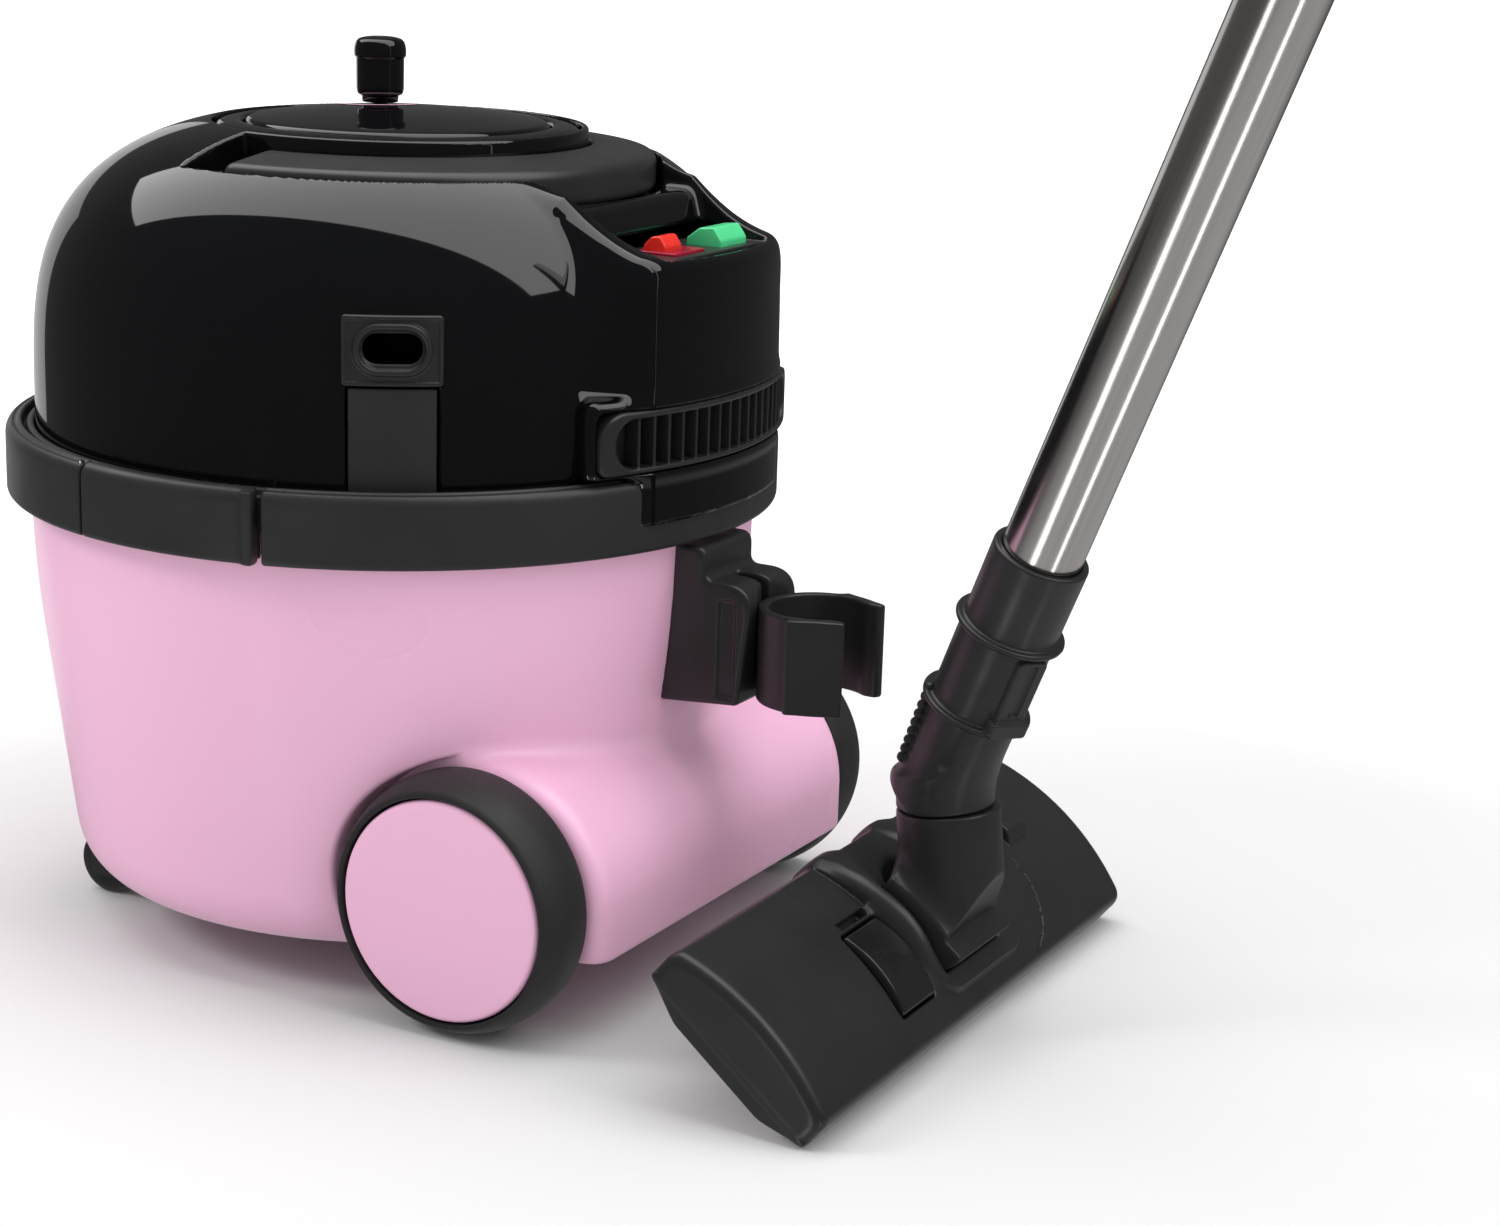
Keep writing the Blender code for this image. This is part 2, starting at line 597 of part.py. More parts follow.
def motor(shop):
    """Suction motor under the hood: deck, fan case, fan, shaft, winding and reel tray."""
    deck = [(28, 181), (148, 181), (148, 185.6), (64, 185.6), (64, 190), (61, 190),
            (61, 185.6), (28, 185.6)]
    shop.add("motor_deck", lathe(deck, 32), "black_matte")
    case = [(30, 189.4), (58, 189.4), (58, 212), (30, 212), (30, 210), (55.5, 210),
            (55.5, 191.4), (30, 191.4)]
    shop.add("fan_case", lathe(case, 26), "steel")
    fan = [(5.4, 192.5), (50, 192.5), (50, 194), (20, 206), (5.4, 208.5)]
    shop.add("motor_fan", lathe(fan, 24), "grey_plastic", pivot=(0, 0, 200))
    shaft = rod((0, 0, 191), (0, 0, 1), 5, 65, 16)
    shop.add("motor_shaft", shaft, "steel", pivot=(0, 0, 200))
    winding = [(20, 213), (44, 213), (46, 220), (46, 250), (42, 256), (20, 256)]
    shop.add("motor_winding", lathe(winding, 24), "copper")
    rotor = [(5.4, 216), (17, 216), (17, 252), (5.4, 252)]
    shop.add("motor_rotor", lathe(rotor, 24), "steel", pivot=(0, 0, 200))
    tray = [(0, 266), (124, 266), (124, 270), (8.4, 270), (8.4, 314), (0, 314)]
    shop.add("reel_tray", lathe(tray, 26), "grey_plastic")


# ---------------------------------------------------------------- floor tool
def arch(v, drop=0.0):
    """Height of the arched top at a distance v from the tool's middle line."""
    radius = (TOOL_DEPTH ** 2 + TOOL_ARCH ** 2) / (2 * TOOL_ARCH)
    return TOOL_WALL + TOOL_ARCH - radius + sqrt(radius ** 2 - v ** 2) - drop


def arch_outline(half, drop, low, count=12):
    spots = [half - 2 * half * index / count for index in range(count + 1)]
    return [(-half, low), (half, low)] + [(v, arch(v, drop)) for v in spots]


def tool_cover(shop, frame):
    body = prism(arch_outline(TOOL_DEPTH, 0, 0), -TOOL_HALF, TOOL_HALF, "X")
    made = shop.add("tool_cover", body, "black_matte", frame)
    for side in (1, -1):
        near, far = sorted((22.0 * side, 30.0 * side))
        cheek = [(-30, 8), (30, 8), (26, 24), (16, 35), (4, 38), (-10, 34), (-26, 24)]
        shop.join(made, prism(cheek, near, far, "X"), frame)
    hollow = prism(arch_outline(TOOL_DEPTH - 2.6, 2.6, -5), 2.6 - TOOL_HALF, TOOL_HALF - 2.6, "X")
    shop.cut(made, hollow, frame)
    shop.cut(made, rod((-21.6, PIVOT_V, PIVOT_W), (1, 0, 0), 20.2, 43.2, 36), frame)
    lean = radians(NECK_LEAN_MAX)
    shop.cut(made, rod((0, PIVOT_V, PIVOT_W), (0, -sin(lean), cos(lean)), 18.8, 45, 32), frame)
    shop.cut(made, rod((-40, PIVOT_V, PIVOT_W), (1, 0, 0), 3 + GAP, 80, 16), frame)
    shop.cut(made, box(32, 62, -8.6, 27.6, 10, 40), frame)


def tool_pin(shop, frame):
    """Steel pin that the neck tilts on."""
    pin = rod((-29.5, PIVOT_V, PIVOT_W), (1, 0, 0), 3, 59, 16)
    shop.add("knuckle_pin", pin, "steel", frame)


def tool_sole(shop, frame):
    under = [(-38, 0.6), (-36, -1.5), (-25, -5.5), (20, -5.5), (33, -2.5), (38, 0.6), (38, 2),
             (-38, 2)]
    made = shop.add("tool_sole", prism(under, 3 - TOOL_HALF, TOOL_HALF - 3, "X"), "steel", frame)
    shop.cut(made, box(-120, 120, -6, 6, -10, 10), frame)
    for v in (-16.5, 16.5):
        shop.cut(made, box(-125.4, 125.4, v - 2.8, v + 2.8, -10, 10), frame)
    for u in (-90, 90):
        shop.cut(made, box(u - 5.6, u + 5.6, -35, -22, -10, 10), frame)
        shop.cut(made, rod((u - 9, -28.5, -2.6), (1, 0, 0), 1.6, 18, 12), frame)


def tool_moving_pieces(shop, frame):
    """Brush strips, the pedal that lowers them, and two small rollers."""
    for name, v in (("brush_strip_front", 16.5), ("brush_strip_rear", -16.5)):
        strip = box(-125, 125, v - 2.4, v + 2.4, -5.4, 7)
        shop.add(name, strip, "bristle", frame, (0, v, 0))
    top = [(-7.5, 12), (26.5, 12), (26.5, arch(26.5) + 1.2), (9, arch(9) + 2.6),
           (-7.5, arch(7.5) + 1.2)]
    shop.add("brush_pedal", prism(top, 32.5, 61.5, "X"), "black_matte", frame,
             (47, 9.5, 15.5))
    for name, u in (("roller_left", 90), ("roller_right", -90)):
        spot = (u - 5, -28.5, -2.6)
        made = shop.add(f"tool_{name}", rod(spot, (1, 0, 0), 5, 10, 20), "grey_plastic", frame,
                        (u, -28.5, -2.6))
        shop.join(made, rod((u - 8, -28.5, -2.6), (1, 0, 0), 1.3, 16, 12), frame)


def neck(shop, tool_frame):
    """Knuckle that tilts on the tool, the elbow that swivels on it, and the socket."""
    barrel = rod((-21, PIVOT_V, PIVOT_W), (1, 0, 0), 18, 42, 24)
    made = shop.add("neck_knuckle", barrel, "black_matte", tool_frame, (0, PIVOT_V, PIVOT_W))
    upright = knuckle_matrix()
    shop.join(made, rod((0, 0, 6), (0, 0, 1), NECK_R, SEAM - 6, 24), upright)
    shop.cut(made, rod((0, 0, 4), (0, 0, 1), 13.5, 60, 20), upright)
    shop.cut(made, rod((-50, PIVOT_V, PIVOT_W), (1, 0, 0), 3 + GAP, 100, 12), tool_frame)
    shop.cut(made, rod((0, PIVOT_V, PIVOT_W - 30), (0, 0, 1), 12, 31, 20), tool_frame)

    along = wand_matrix()
    low = upright @ (Vector((0, 0, SEAM + GAP)) * MM)
    elbow = shop.add("neck_elbow", bent_pipe(low, along, NECK_R), "black_matte",
                     pivot=tuple(low / MM))
    shop.cut(elbow, bent_pipe(low, along, 13.5, 6))
    sleeve = [(13.5, SOCKET_LOW), (18.5, SOCKET_LOW), (19, 105), (18.4, SOCKET_RIM),
              (WAND_R + 0.4, SOCKET_RIM), (WAND_R + 0.4, WAND_LOW - 0.4), (13.5, WAND_LOW - 0.4)]
    socket = shop.add("neck_socket", lathe(sleeve, 24), "black_matte", along)
    for height in (36.5, 72.5):
        shop.join(socket, ring((0, 0, height), (0, 0, 1), 21.6, 17, 3, 24), along)


def bent_pipe(low, along, radius, extra=0.0):
    """Solid bar from the swivel seam, round the bend, up to the socket, in mm."""
    bend = Vector(along.translation) / MM
    start = low / MM - KNUCKLE_DIR * extra
    finish = bend + WAND_DIR * (SOCKET_LOW - GAP + extra)
    corner = 7.0
    first = bend - KNUCKLE_DIR * corner
    last = bend + WAND_DIR * corner
    path = [start, first]
    for index in range(1, 5):
        t = index / 5
        path.append(first * (1 - t) ** 2 + bend * 2 * t * (1 - t) + last * t ** 2)
    path += [last, finish]
    return swept(path, radius, 24)


def swept(path, radius, segments):
    """Round bar through a list of points, with flat ends."""
    mesh = bmesh.new()
    rings = []
    side = Vector((1, 0, 0))
    for index, spot in enumerate(path):
        before = path[max(index - 1, 0)]
        after = path[min(index + 1, len(path) - 1)]
        way = (after - before).normalized()
        side = (side - way * side.dot(way)).normalized()
        other = way.cross(side)
        angles = [2 * pi * step / segments for step in range(segments)]
        rings.append([mesh.verts.new(spot + (side * cos(a) + other * sin(a)) * radius)
                      for a in angles])
    for lower, upper in zip(rings, rings[1:]):
        for index in range(segments):
            after = (index + 1) % segments
            mesh.faces.new((lower[index], lower[after], upper[after], upper[index]))
    mesh.faces.new(rings[0])
    mesh.faces.new(rings[-1])
    return mesh


def wand(shop):
    """Lower wand tube, with the tapered end that the next tube pushes on to."""
    profile = [(WAND_R - 1.1, WAND_LOW), (WAND_R, WAND_LOW), (WAND_R, WAND_TOP - 48),
               (14.6, WAND_TOP - 43), (WAND_END_R, WAND_TOP), (13.4, WAND_TOP),
               (13.5, WAND_TOP - 42), (WAND_R - 1.1, WAND_TOP - 48)]
    shop.add("wand_tube", lathe(profile, 24), "steel", wand_matrix(), (0, 0, WAND_LOW))


def build():
    for old in list(bpy.data.objects):
        bpy.data.objects.remove(old, do_unlink=True)
    shop = Shop()
    tub(shop)
    inlet(shop)
    bag_and_filter(shop)
    rear_wheels(shop)
    casters(shop)
    dock(shop)
    bumper_ring(shop)
    latches(shop)
    hat(shop)
    exhaust_grille(shop)
    cable_outlet(shop)
    switches(shop)
    carry_handle(shop)
    reel(shop)
    motor(shop)
    shop.base = tool_group()
    frame = tool_matrix()
    tool_cover(shop, frame)
    tool_pin(shop, frame)
    tool_sole(shop, frame)
    tool_moving_pieces(shop, frame)
    neck(shop, frame)
    wand(shop)


build()
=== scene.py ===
"""Looks of the canister vacuum cleaner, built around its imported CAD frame.

Every shell is written as a signed field in millimetres: negative inside, zero on the
surface. skin() meshes such a field, and blends between shapes are real fillets there.
Turned pieces are lathed from rounded profiles. The design frame has Z through the tub's
centre, the front towards -Y and the cleaner's left side towards +X.
"""
from math import cos, pi, radians, sin, sqrt

import bmesh
import bpy
import numpy as np
from mathutils import Matrix, Vector


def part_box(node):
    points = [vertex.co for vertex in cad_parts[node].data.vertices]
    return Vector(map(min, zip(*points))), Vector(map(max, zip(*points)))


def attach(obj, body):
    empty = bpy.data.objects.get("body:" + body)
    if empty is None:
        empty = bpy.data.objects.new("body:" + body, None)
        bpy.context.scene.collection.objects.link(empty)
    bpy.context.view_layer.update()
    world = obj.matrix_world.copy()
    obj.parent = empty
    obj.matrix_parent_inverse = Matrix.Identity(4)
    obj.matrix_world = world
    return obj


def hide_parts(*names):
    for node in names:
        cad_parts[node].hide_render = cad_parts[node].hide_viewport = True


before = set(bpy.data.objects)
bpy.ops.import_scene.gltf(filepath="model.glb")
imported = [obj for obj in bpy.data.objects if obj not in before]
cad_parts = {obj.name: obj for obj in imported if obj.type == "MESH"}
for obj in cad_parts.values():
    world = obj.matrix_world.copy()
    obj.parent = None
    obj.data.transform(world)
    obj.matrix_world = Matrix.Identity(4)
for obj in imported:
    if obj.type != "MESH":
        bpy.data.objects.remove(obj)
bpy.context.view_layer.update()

# ---------------------------------------------------------------- frames
MM = 0.001
RING_LOW_CORNER, RING_HIGH_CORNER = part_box("bumper_ring")
AXIS_Y = (RING_LOW_CORNER.y + RING_HIGH_CORNER.y) / 2
FLOOR = -6.0                     # height of the floor in the design frame
DESIGN = Matrix.Translation((0, AXIS_Y, -FLOOR * MM)) @ Matrix.Scale(MM, 4)

TOOL_SCALE = 1.01336             # the tool, its neck and the wand are drawn at 1 : this
TOOL_SHIFT = (-13.67, -9.57, FLOOR)
GROUP = DESIGN @ Matrix.Translation(TOOL_SHIFT) @ Matrix.Scale(TOOL_SCALE, 4)
TILT = 39.3                      # the floor tool stands on its long edge
TOOL_DEPTH = 41.0
TOOL_HALF = 139.0
TOOL_ORIGIN = (18.0, 249.5, TOOL_DEPTH * sin(radians(TILT)))
PIVOT_V = 4.0
PIVOT_W = 30.0
SEAM = 40.0
ELBOW = 49.0
KNUCKLE_DIR = Vector((0, -0.113, 0.994)).normalized()
WAND_DIR = Vector((0.107, 0.377, 0.920)).normalized()


def along(origin, direction):
    """Frame in millimetres with its Z axis along a direction."""
    turn = Vector((0, 0, 1)).rotation_difference(direction).to_matrix().to_4x4()
    return Matrix.Translation(origin) @ turn


TOOL_LOCAL = Matrix.Translation(TOOL_ORIGIN) @ Matrix.Rotation(-radians(TILT), 4, "X")
KNUCKLE_SPOT = TOOL_LOCAL @ Vector((0, PIVOT_V, PIVOT_W))
TOOL = GROUP @ TOOL_LOCAL
WAND = GROUP @ along(KNUCKLE_SPOT + KNUCKLE_DIR * ELBOW, WAND_DIR)


# ---------------------------------------------------------------- camera
def make_camera():
    """Camera at the viewing angle of the reference."""
    forward = Vector((-0.85331, -0.45504, -0.25460)).normalized()
    level = forward.cross(Vector((0, 0, 1))).normalized()
    upright = level.cross(forward)
    roll = radians(1.88)
    right = level * cos(roll) + upright * sin(roll)
    up = upright * cos(roll) - level * sin(roll)
    data = bpy.data.cameras.new("view")
    data.lens = 72.156
    data.sensor_width = 36.0
    data.clip_end = 200.0
    camera = bpy.data.objects.new("view", data)
    turn = Matrix((right, up, -forward)).transposed().to_4x4()
    camera.matrix_world = Matrix.Translation(DESIGN @ Vector((1022.9, 716.0, 449.0))) @ turn
    bpy.context.scene.collection.objects.link(camera)
    bpy.context.scene.camera = camera


# ---------------------------------------------------------------- field helpers
def smin(a, b, k):
    """Union of two fields with a fillet about k wide."""
    h = np.maximum(k - np.abs(a - b), 0) / k
    return np.minimum(a, b) - h * h * k * 0.25


def smax(a, b, k):
    """Intersection of two fields with a rounded edge about k wide."""
    return -smin(-a, -b, k)


def cut(a, b, k):
    """Field a with b taken away."""
    return smax(a, -b, k)


def span(v, low, high):
    """Distance outside a range."""
    return np.maximum(low - v, v - high)


def crate(x, y, z, bounds, k):
    """Box between three (low, high) pairs with rounded edges."""
    sides = [span(value, *pair) + k for value, pair in zip((x, y, z), bounds)]
    outside = sum(np.maximum(side, 0) ** 2 for side in sides)
    inside = np.minimum(np.maximum(np.maximum(sides[0], sides[1]), sides[2]), 0)
    return np.sqrt(outside) + inside - k


def plate(a, b, half_a, half_b, k):
    """Rounded rectangle about the origin of a plane."""
    x = np.abs(a) - half_a + k
    y = np.abs(b) - half_b + k
    return np.sqrt(np.maximum(x, 0) ** 2 + np.maximum(y, 0) ** 2) + np.minimum(
        np.maximum(x, y), 0) - k


def corner_values(values):
    """The eight corners of every grid cell, as views of one array."""
    ends = (slice(0, -1), slice(1, None))
    return [values[ends[i], ends[j], ends[k]] for i in (0, 1) for j in (0, 1) for k in (0, 1)]


def grid_quads(inside, numbers):
    """Quads round every grid edge that crosses the surface."""
    quads = []
    for axis in range(3):
        low = [slice(None)] * 3
        high = [slice(None)] * 3
        low[axis], high[axis] = slice(0, -1), slice(1, None)
        first, second = inside[tuple(low)], inside[tuple(high)]
        spots = np.argwhere(first != second)
        one, two = [a for a in range(3) if a != axis]
        keep = (spots[:, one] > 0) & (spots[:, two] > 0)
        keep &= (spots[:, one] < inside.shape[one] - 1) & (spots[:, two] < inside.shape[two] - 1)
        spots = spots[keep]
        ring = []
        for da, db in ((1, 1), (0, 1), (0, 0), (1, 0)):
            cell = spots.copy()
            cell[:, one] -= da
            cell[:, two] -= db
            ring.append(numbers[cell[:, 0], cell[:, 1], cell[:, 2]])
        quads.append(np.stack(ring, 1))
    return np.concatenate(quads)


def face_outwards(quads, points, normals):
    """Turn round the quads that face against the field."""
    across = points[quads[:, 2]] - points[quads[:, 0]]
    other = points[quads[:, 3]] - points[quads[:, 1]]
    flip = (np.cross(across, other) * normals[quads].mean(1)).sum(1) < 0
    quads[flip] = quads[flip][:, ::-1]
    return quads


def slope(field, points, step=0.2):
    """Gradient of a field at a list of points."""
    parts = []
    for axis in range(3):
        shift = np.zeros(3)
        shift[axis] = step
        ahead = field(*(points + shift).T)
        behind = field(*(points - shift).T)
        parts.append((ahead - behind) / (2 * step))
    return np.stack(parts, 1)


def net(field, low, high, cell):
    """Points, quads and normals of the surface where a field is zero."""
    low = np.array(low, float)
    counts = np.ceil((np.array(high, float) - low) / cell).astype(int) + 1
    axes = [low[i] + cell * np.arange(counts[i]) for i in range(3)]
    x = axes[0][:, None, None]
    y = axes[1][None, :, None]
    z = axes[2][None, None, :]
    values = np.broadcast_to(field(x, y, z), counts).astype(np.float32)
    inside = values < 0
    corners = corner_values(inside)
    total = sum(corner.astype(np.int8) for corner in corners)
    mixed = (total > 0) & (total < 8)
    cells = np.argwhere(mixed)
    numbers = np.full(mixed.shape, -1, np.int64)
    numbers[mixed] = np.arange(len(cells))
    heights = np.stack([corner[mixed] for corner in corner_values(values)], 1)
    offsets = np.array([(i, j, k) for i in (0, 1) for j in (0, 1) for k in (0, 1)], float)
    crossing = np.zeros((len(cells), 3))
    hits = np.zeros(len(cells))
    for a in range(8):
        for b in range(a + 1, 8):
            if np.abs(offsets[a] - offsets[b]).sum() != 1:
                continue
            crossed = (heights[:, a] < 0) != (heights[:, b] < 0)
            share = heights[crossed, a] / (heights[crossed, a] - heights[crossed, b])
            crossing[crossed] += offsets[a] + (offsets[b] - offsets[a]) * share[:, None]
            hits[crossed] += 1
    points = low + (cells + crossing / hits[:, None]) * cell
    for _ in range(3):
        gradient = slope(field, points)
        size = np.maximum((gradient ** 2).sum(1), 0.05)
        step = field(*points.T) / size
        points -= gradient * np.clip(step, -cell * 0.5, cell * 0.5)[:, None]
    normals = slope(field, points)
    normals /= np.maximum(np.linalg.norm(normals, axis=1), 1e-9)[:, None]
    return points, face_outwards(grid_quads(inside, numbers), points, normals), normals


# ---------------------------------------------------------------- piece helpers
def show(name, mesh, body, nodes, material):
    """Link a mesh as a piece that rides on a body and stands for CAD nodes."""
    made = bpy.data.objects.new(name, mesh)
    bpy.context.scene.collection.objects.link(made)
    mesh.materials.append(material)
    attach(made, body)
    if nodes:
        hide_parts(*nodes)
    return made


def skin(name, field, low, high, cell, body, nodes, material, place=DESIGN):
    """Piece whose surface is where a field is zero."""
    points, quads, normals = net(field, low, high, cell)
    turn = np.array(place)
    points = points @ turn[:3, :3].T + turn[:3, 3]
    normals = normals @ turn[:3, :3].T / place.median_scale
    mesh = bpy.data.meshes.new(name)
    mesh.from_pydata(points.tolist(), [], quads.tolist())
    mesh.shade_smooth()
    mesh.normals_split_custom_set_from_vertices(normals.tolist())
    return show(name, mesh, body, nodes, material)


def rounded(profile, steps=5):
    """Replace the corners (a, b, radius) of a closed outline by arcs."""
    done = []
    count = len(profile)
    for index, (a, b, radius) in enumerate(profile):
        here = Vector((a, b))
        if radius == 0:
            done.append(here)
            continue
        before = Vector(profile[index - 1][:2]) - here
        after = Vector(profile[(index + 1) % count][:2]) - here
        reach = min(radius, before.length * 0.5, after.length * 0.5)
        first = here + before.normalized() * reach
        last = here + after.normalized() * reach
        for step in range(steps + 1):
            t = step / steps
            done.append(first * (1 - t) ** 2 + here * (2 * t * (1 - t)) + last * t ** 2)
    return done


def lathe(name, profile, body, nodes, material, place=DESIGN, segments=160):
    """Piece turned about its frame's Z from corners (radius, z, rounding)."""
    outline = rounded(profile)
    points, faces = [], []
    for spot in outline:
        for index in range(segments):
            angle = 2 * pi * index / segments
            points.append(place @ Vector((spot.x * cos(angle), spot.x * sin(angle), spot.y)))
    for row in range(len(outline)):
        following = (row + 1) % len(outline)
        if outline[row].x == 0 and outline[following].x == 0:
            continue
        for index in range(segments):
            after = (index + 1) % segments
            faces.append((row * segments + index, row * segments + after,
                          following * segments + after, following * segments + index))
    mesh = bpy.data.meshes.new(name)
    mesh.from_pydata(points, [], faces)
    finish_mesh(mesh, 40)
    return show(name, mesh, body, nodes, material)


def finish_mesh(mesh, sharp):
    """Weld doubled points, face outwards and shade smoothly below an angle."""
    work = bmesh.new()
    work.from_mesh(mesh)
    bmesh.ops.remove_doubles(work, verts=work.verts, dist=1e-6)
    bmesh.ops.recalc_face_normals(work, faces=work.faces)
    work.to_mesh(mesh)
    work.free()
    mesh.shade_smooth()
    mesh.set_sharp_from_angle(angle=radians(sharp))


def sideways(origin, direction):
    """Frame for a piece turned about a line other than Z, in design millimetres."""
    return DESIGN @ along(Vector(origin), Vector(direction))


# ---------------------------------------------------------------- materials
class Nodes:
    """Short way to build a material's node tree."""

    def __init__(self, name):
        self.material = bpy.data.materials.new(name)
        self.material.use_nodes = True
        self.tree = self.material.node_tree
        self.shader = self.tree.nodes["Principled BSDF"]

    def set(self, **values):
        for name, value in values.items():
            self.shader.inputs[name.replace("_", " ")].default_value = value

    def node(self, kind, **settings):
        made = self.tree.nodes.new(kind)
        for name, value in settings.items():
            if name in made.inputs:
                made.inputs[name].default_value = value
            else:
                setattr(made, name, value)
        return made

    def link(self, source, output, target, socket):
        self.tree.links.new(source.outputs[output], target.inputs[socket])

    def coordinates(self, stretch=(1, 1, 1), grain=None):
        """Object coordinates in metres, turned so that grain is Z, then scaled."""
        where = self.node("ShaderNodeTexCoord")
        turn = self.node("ShaderNodeMapping")
        if grain is not None:
            turn.inputs["Rotation"].default_value = grain.rotation_difference((0, 0, 1)).to_euler()
        scale = self.node("ShaderNodeMapping")
        scale.inputs["Scale"].default_value = stretch
        self.link(where, "Object", turn, "Vector")
        self.link(turn, "Vector", scale, "Vector")
        return scale

    def noise(self, size, detail=2.0, stretch=(1, 1, 1), grain=None):
        """Noise whose features are about size metres wide."""
        made = self.node("ShaderNodeTexNoise", Scale=1 / size, Detail=detail)
        self.link(self.coordinates(stretch, grain), "Vector", made, "Vector")
        return made

    def ramp(self, source, output, low, high, start=0.0, end=1.0):
        """Map a value to a range of numbers."""
        made = self.node("ShaderNodeMapRange")
        made.inputs["From Min"].default_value = start
        made.inputs["From Max"].default_value = end
        made.inputs["To Min"].default_value = low
        made.inputs["To Max"].default_value = high
        self.link(source, output, made, "Value")
        return made

    def tint(self, source, output, low, high):
        """Colour between two colours, driven by a value."""
        made = self.node("ShaderNodeMix", data_type="RGBA")
        made.inputs[6].default_value = (*low, 1)
        made.inputs[7].default_value = (*high, 1)
        self.tree.links.new(source.outputs[output], made.inputs[0])
        self.tree.links.new(made.outputs[2], self.shader.inputs["Base Color"])
        return made

    def bump(self, source, output, strength, distance):
        made = self.node("ShaderNodeBump", Strength=strength, Distance=distance)
        self.link(source, output, made, "Height")
        self.link(made, "Normal", self.shader, "Normal")
        return made

    def rough(self, source, output, low, high):
        mapped = self.ramp(source, output, low, high)
        self.link(mapped, "Result", self.shader, "Roughness")


def moulded(name, low, high, rough, grain, depth, grain_size=0.0006, ior=1.5, blotch=0.03):
    """Moulded plastic: fine grain in relief, faint colour change and handling marks."""
    made = Nodes(name)
    made.set(IOR=ior)
    made.tint(made.noise(blotch, 1.0), "Fac", low, high)
    made.rough(made.noise(blotch * 0.6, 1.0), "Fac", *rough)
    made.bump(made.noise(grain_size, 3.0), "Fac", grain, depth)
    return made.material


def brushed(name):
    """Stainless steel brushed along its length."""
    made = Nodes(name)
    made.set(Metallic=1.0)
    streaks = made.noise(0.0012, 4.0, (1, 1, 0.015), WAND_DIR)
    made.tint(streaks, "Fac", (0.52, 0.49, 0.475), (0.66, 0.635, 0.615))
    made.rough(streaks, "Fac", 0.16, 0.24)
    made.bump(streaks, "Fac", 0.05, 0.00004)
    return made.material


def woven(name, low, high, thread):
    """Felted or fibrous material with a visible thread."""
    made = Nodes(name)
    made.set(Roughness=0.9)
    fibre = made.noise(thread, 5.0)
    made.tint(fibre, "Fac", low, high)
    made.bump(fibre, "Fac", 0.6, 0.0004)
    return made.material


def make_materials():
    return {
        "pink_plastic": moulded("pink_plastic", (0.79, 0.44, 0.62), (0.81, 0.46, 0.64),
                                (0.26, 0.30), 0.02, 0.00003, 0.0012, 1.46, 0.2),
        "black_gloss": moulded("black_gloss", (0.0018, 0.002, 0.0024), (0.003, 0.0032, 0.0038),
                               (0.025, 0.06), 0.015, 0.00003, 0.004, 1.5, 0.06),
        "black_matte": moulded("black_matte", (0.016, 0.016, 0.0165), (0.023, 0.023, 0.0235),
                               (0.36, 0.48), 0.22, 0.00012, 0.0005, 1.47),
        "black_satin": moulded("black_satin", (0.014, 0.014, 0.0145), (0.020, 0.020, 0.0205),
                               (0.30, 0.40), 0.16, 0.0001, 0.00045, 1.48),
        "black_smooth": moulded("black_smooth", (0.008, 0.008, 0.0085), (0.012, 0.012, 0.0125),
                                (0.16, 0.24), 0.05, 0.00005, 0.0006, 1.5),
        "dark_red": moulded("dark_red", (0.24, 0.005, 0.02), (0.30, 0.008, 0.03),
                            (0.2, 0.3), 0.03, 0.00004, 0.0009, 1.5, 0.01),
        "rubber": moulded("rubber", (0.014, 0.014, 0.0145), (0.022, 0.0215, 0.021),
                          (0.5, 0.65), 0.3, 0.00015, 0.0007, 1.45),
        "steel": brushed("steel"),
        "red_plastic": moulded("red_plastic", (0.62, 0.02, 0.012), (0.72, 0.03, 0.018),
                               (0.18, 0.28), 0.03, 0.00004, 0.0009, 1.5, 0.01),
        "green_plastic": moulded("green_plastic", (0.06, 0.50, 0.20), (0.08, 0.60, 0.25),
                                 (0.18, 0.28), 0.03, 0.00004, 0.0009, 1.5, 0.01),
        "grey_plastic": moulded("grey_plastic", (0.20, 0.20, 0.21), (0.26, 0.26, 0.27),
                                (0.4, 0.5), 0.15, 0.0001, 0.0006),
        "white_cloth": woven("white_cloth", (0.62, 0.61, 0.57), (0.82, 0.81, 0.78), 0.0009),
        "bristle": woven("bristle", (0.03, 0.03, 0.03), (0.09, 0.09, 0.09), 0.0005),
        "copper": brushed("copper"),
    }


paint = make_materials()


# ---------------------------------------------------------------- hood
BACK_ARC_R = 160                 # radius at which arcs round the hood's back are measured
GRILLE_Z = 219.75
OUTLET_ARC = 55.75               # the cable outlet, from the back towards the left
OUTLET_ARC_R = 148
OUTLET_Z = 256.5
STRIP_Z = 222
LID_SEAT_R = 75.2
BORE_R = 70
CHANNEL_IN = 78.0                # walls of the channel that the folded handle lies in
CHANNEL_OUT = 108.0
DECK_Z = 285.0                   # floor that the switches stand on
SHELF_Z = 303.5                  # ledge behind the handle
SHELF_Y = 114
HAT_R = 148.0
HAT_TOP = 114.0
HAT_FOOT = 217.0
BLOCK_R = 161.0
BLOCK_HALF = 55.0


def dome(r, z):
    """Squarish dome: a superellipse turned about the axis, on a cylinder."""
    power = 3.06
    a = r / HAT_R
    b = np.maximum(z - HAT_FOOT, 0) / HAT_TOP
    level = (a ** power + b ** power) ** (1 / power) + 1e-9
    rise = level ** (1 - power)
    outward = rise * a ** (power - 1) / HAT_R
    upward = rise * b ** (power - 1) / HAT_TOP
    steep = np.sqrt(outward ** 2 + upward ** 2)
    return (level - 1) / np.maximum(steep, 0.002)


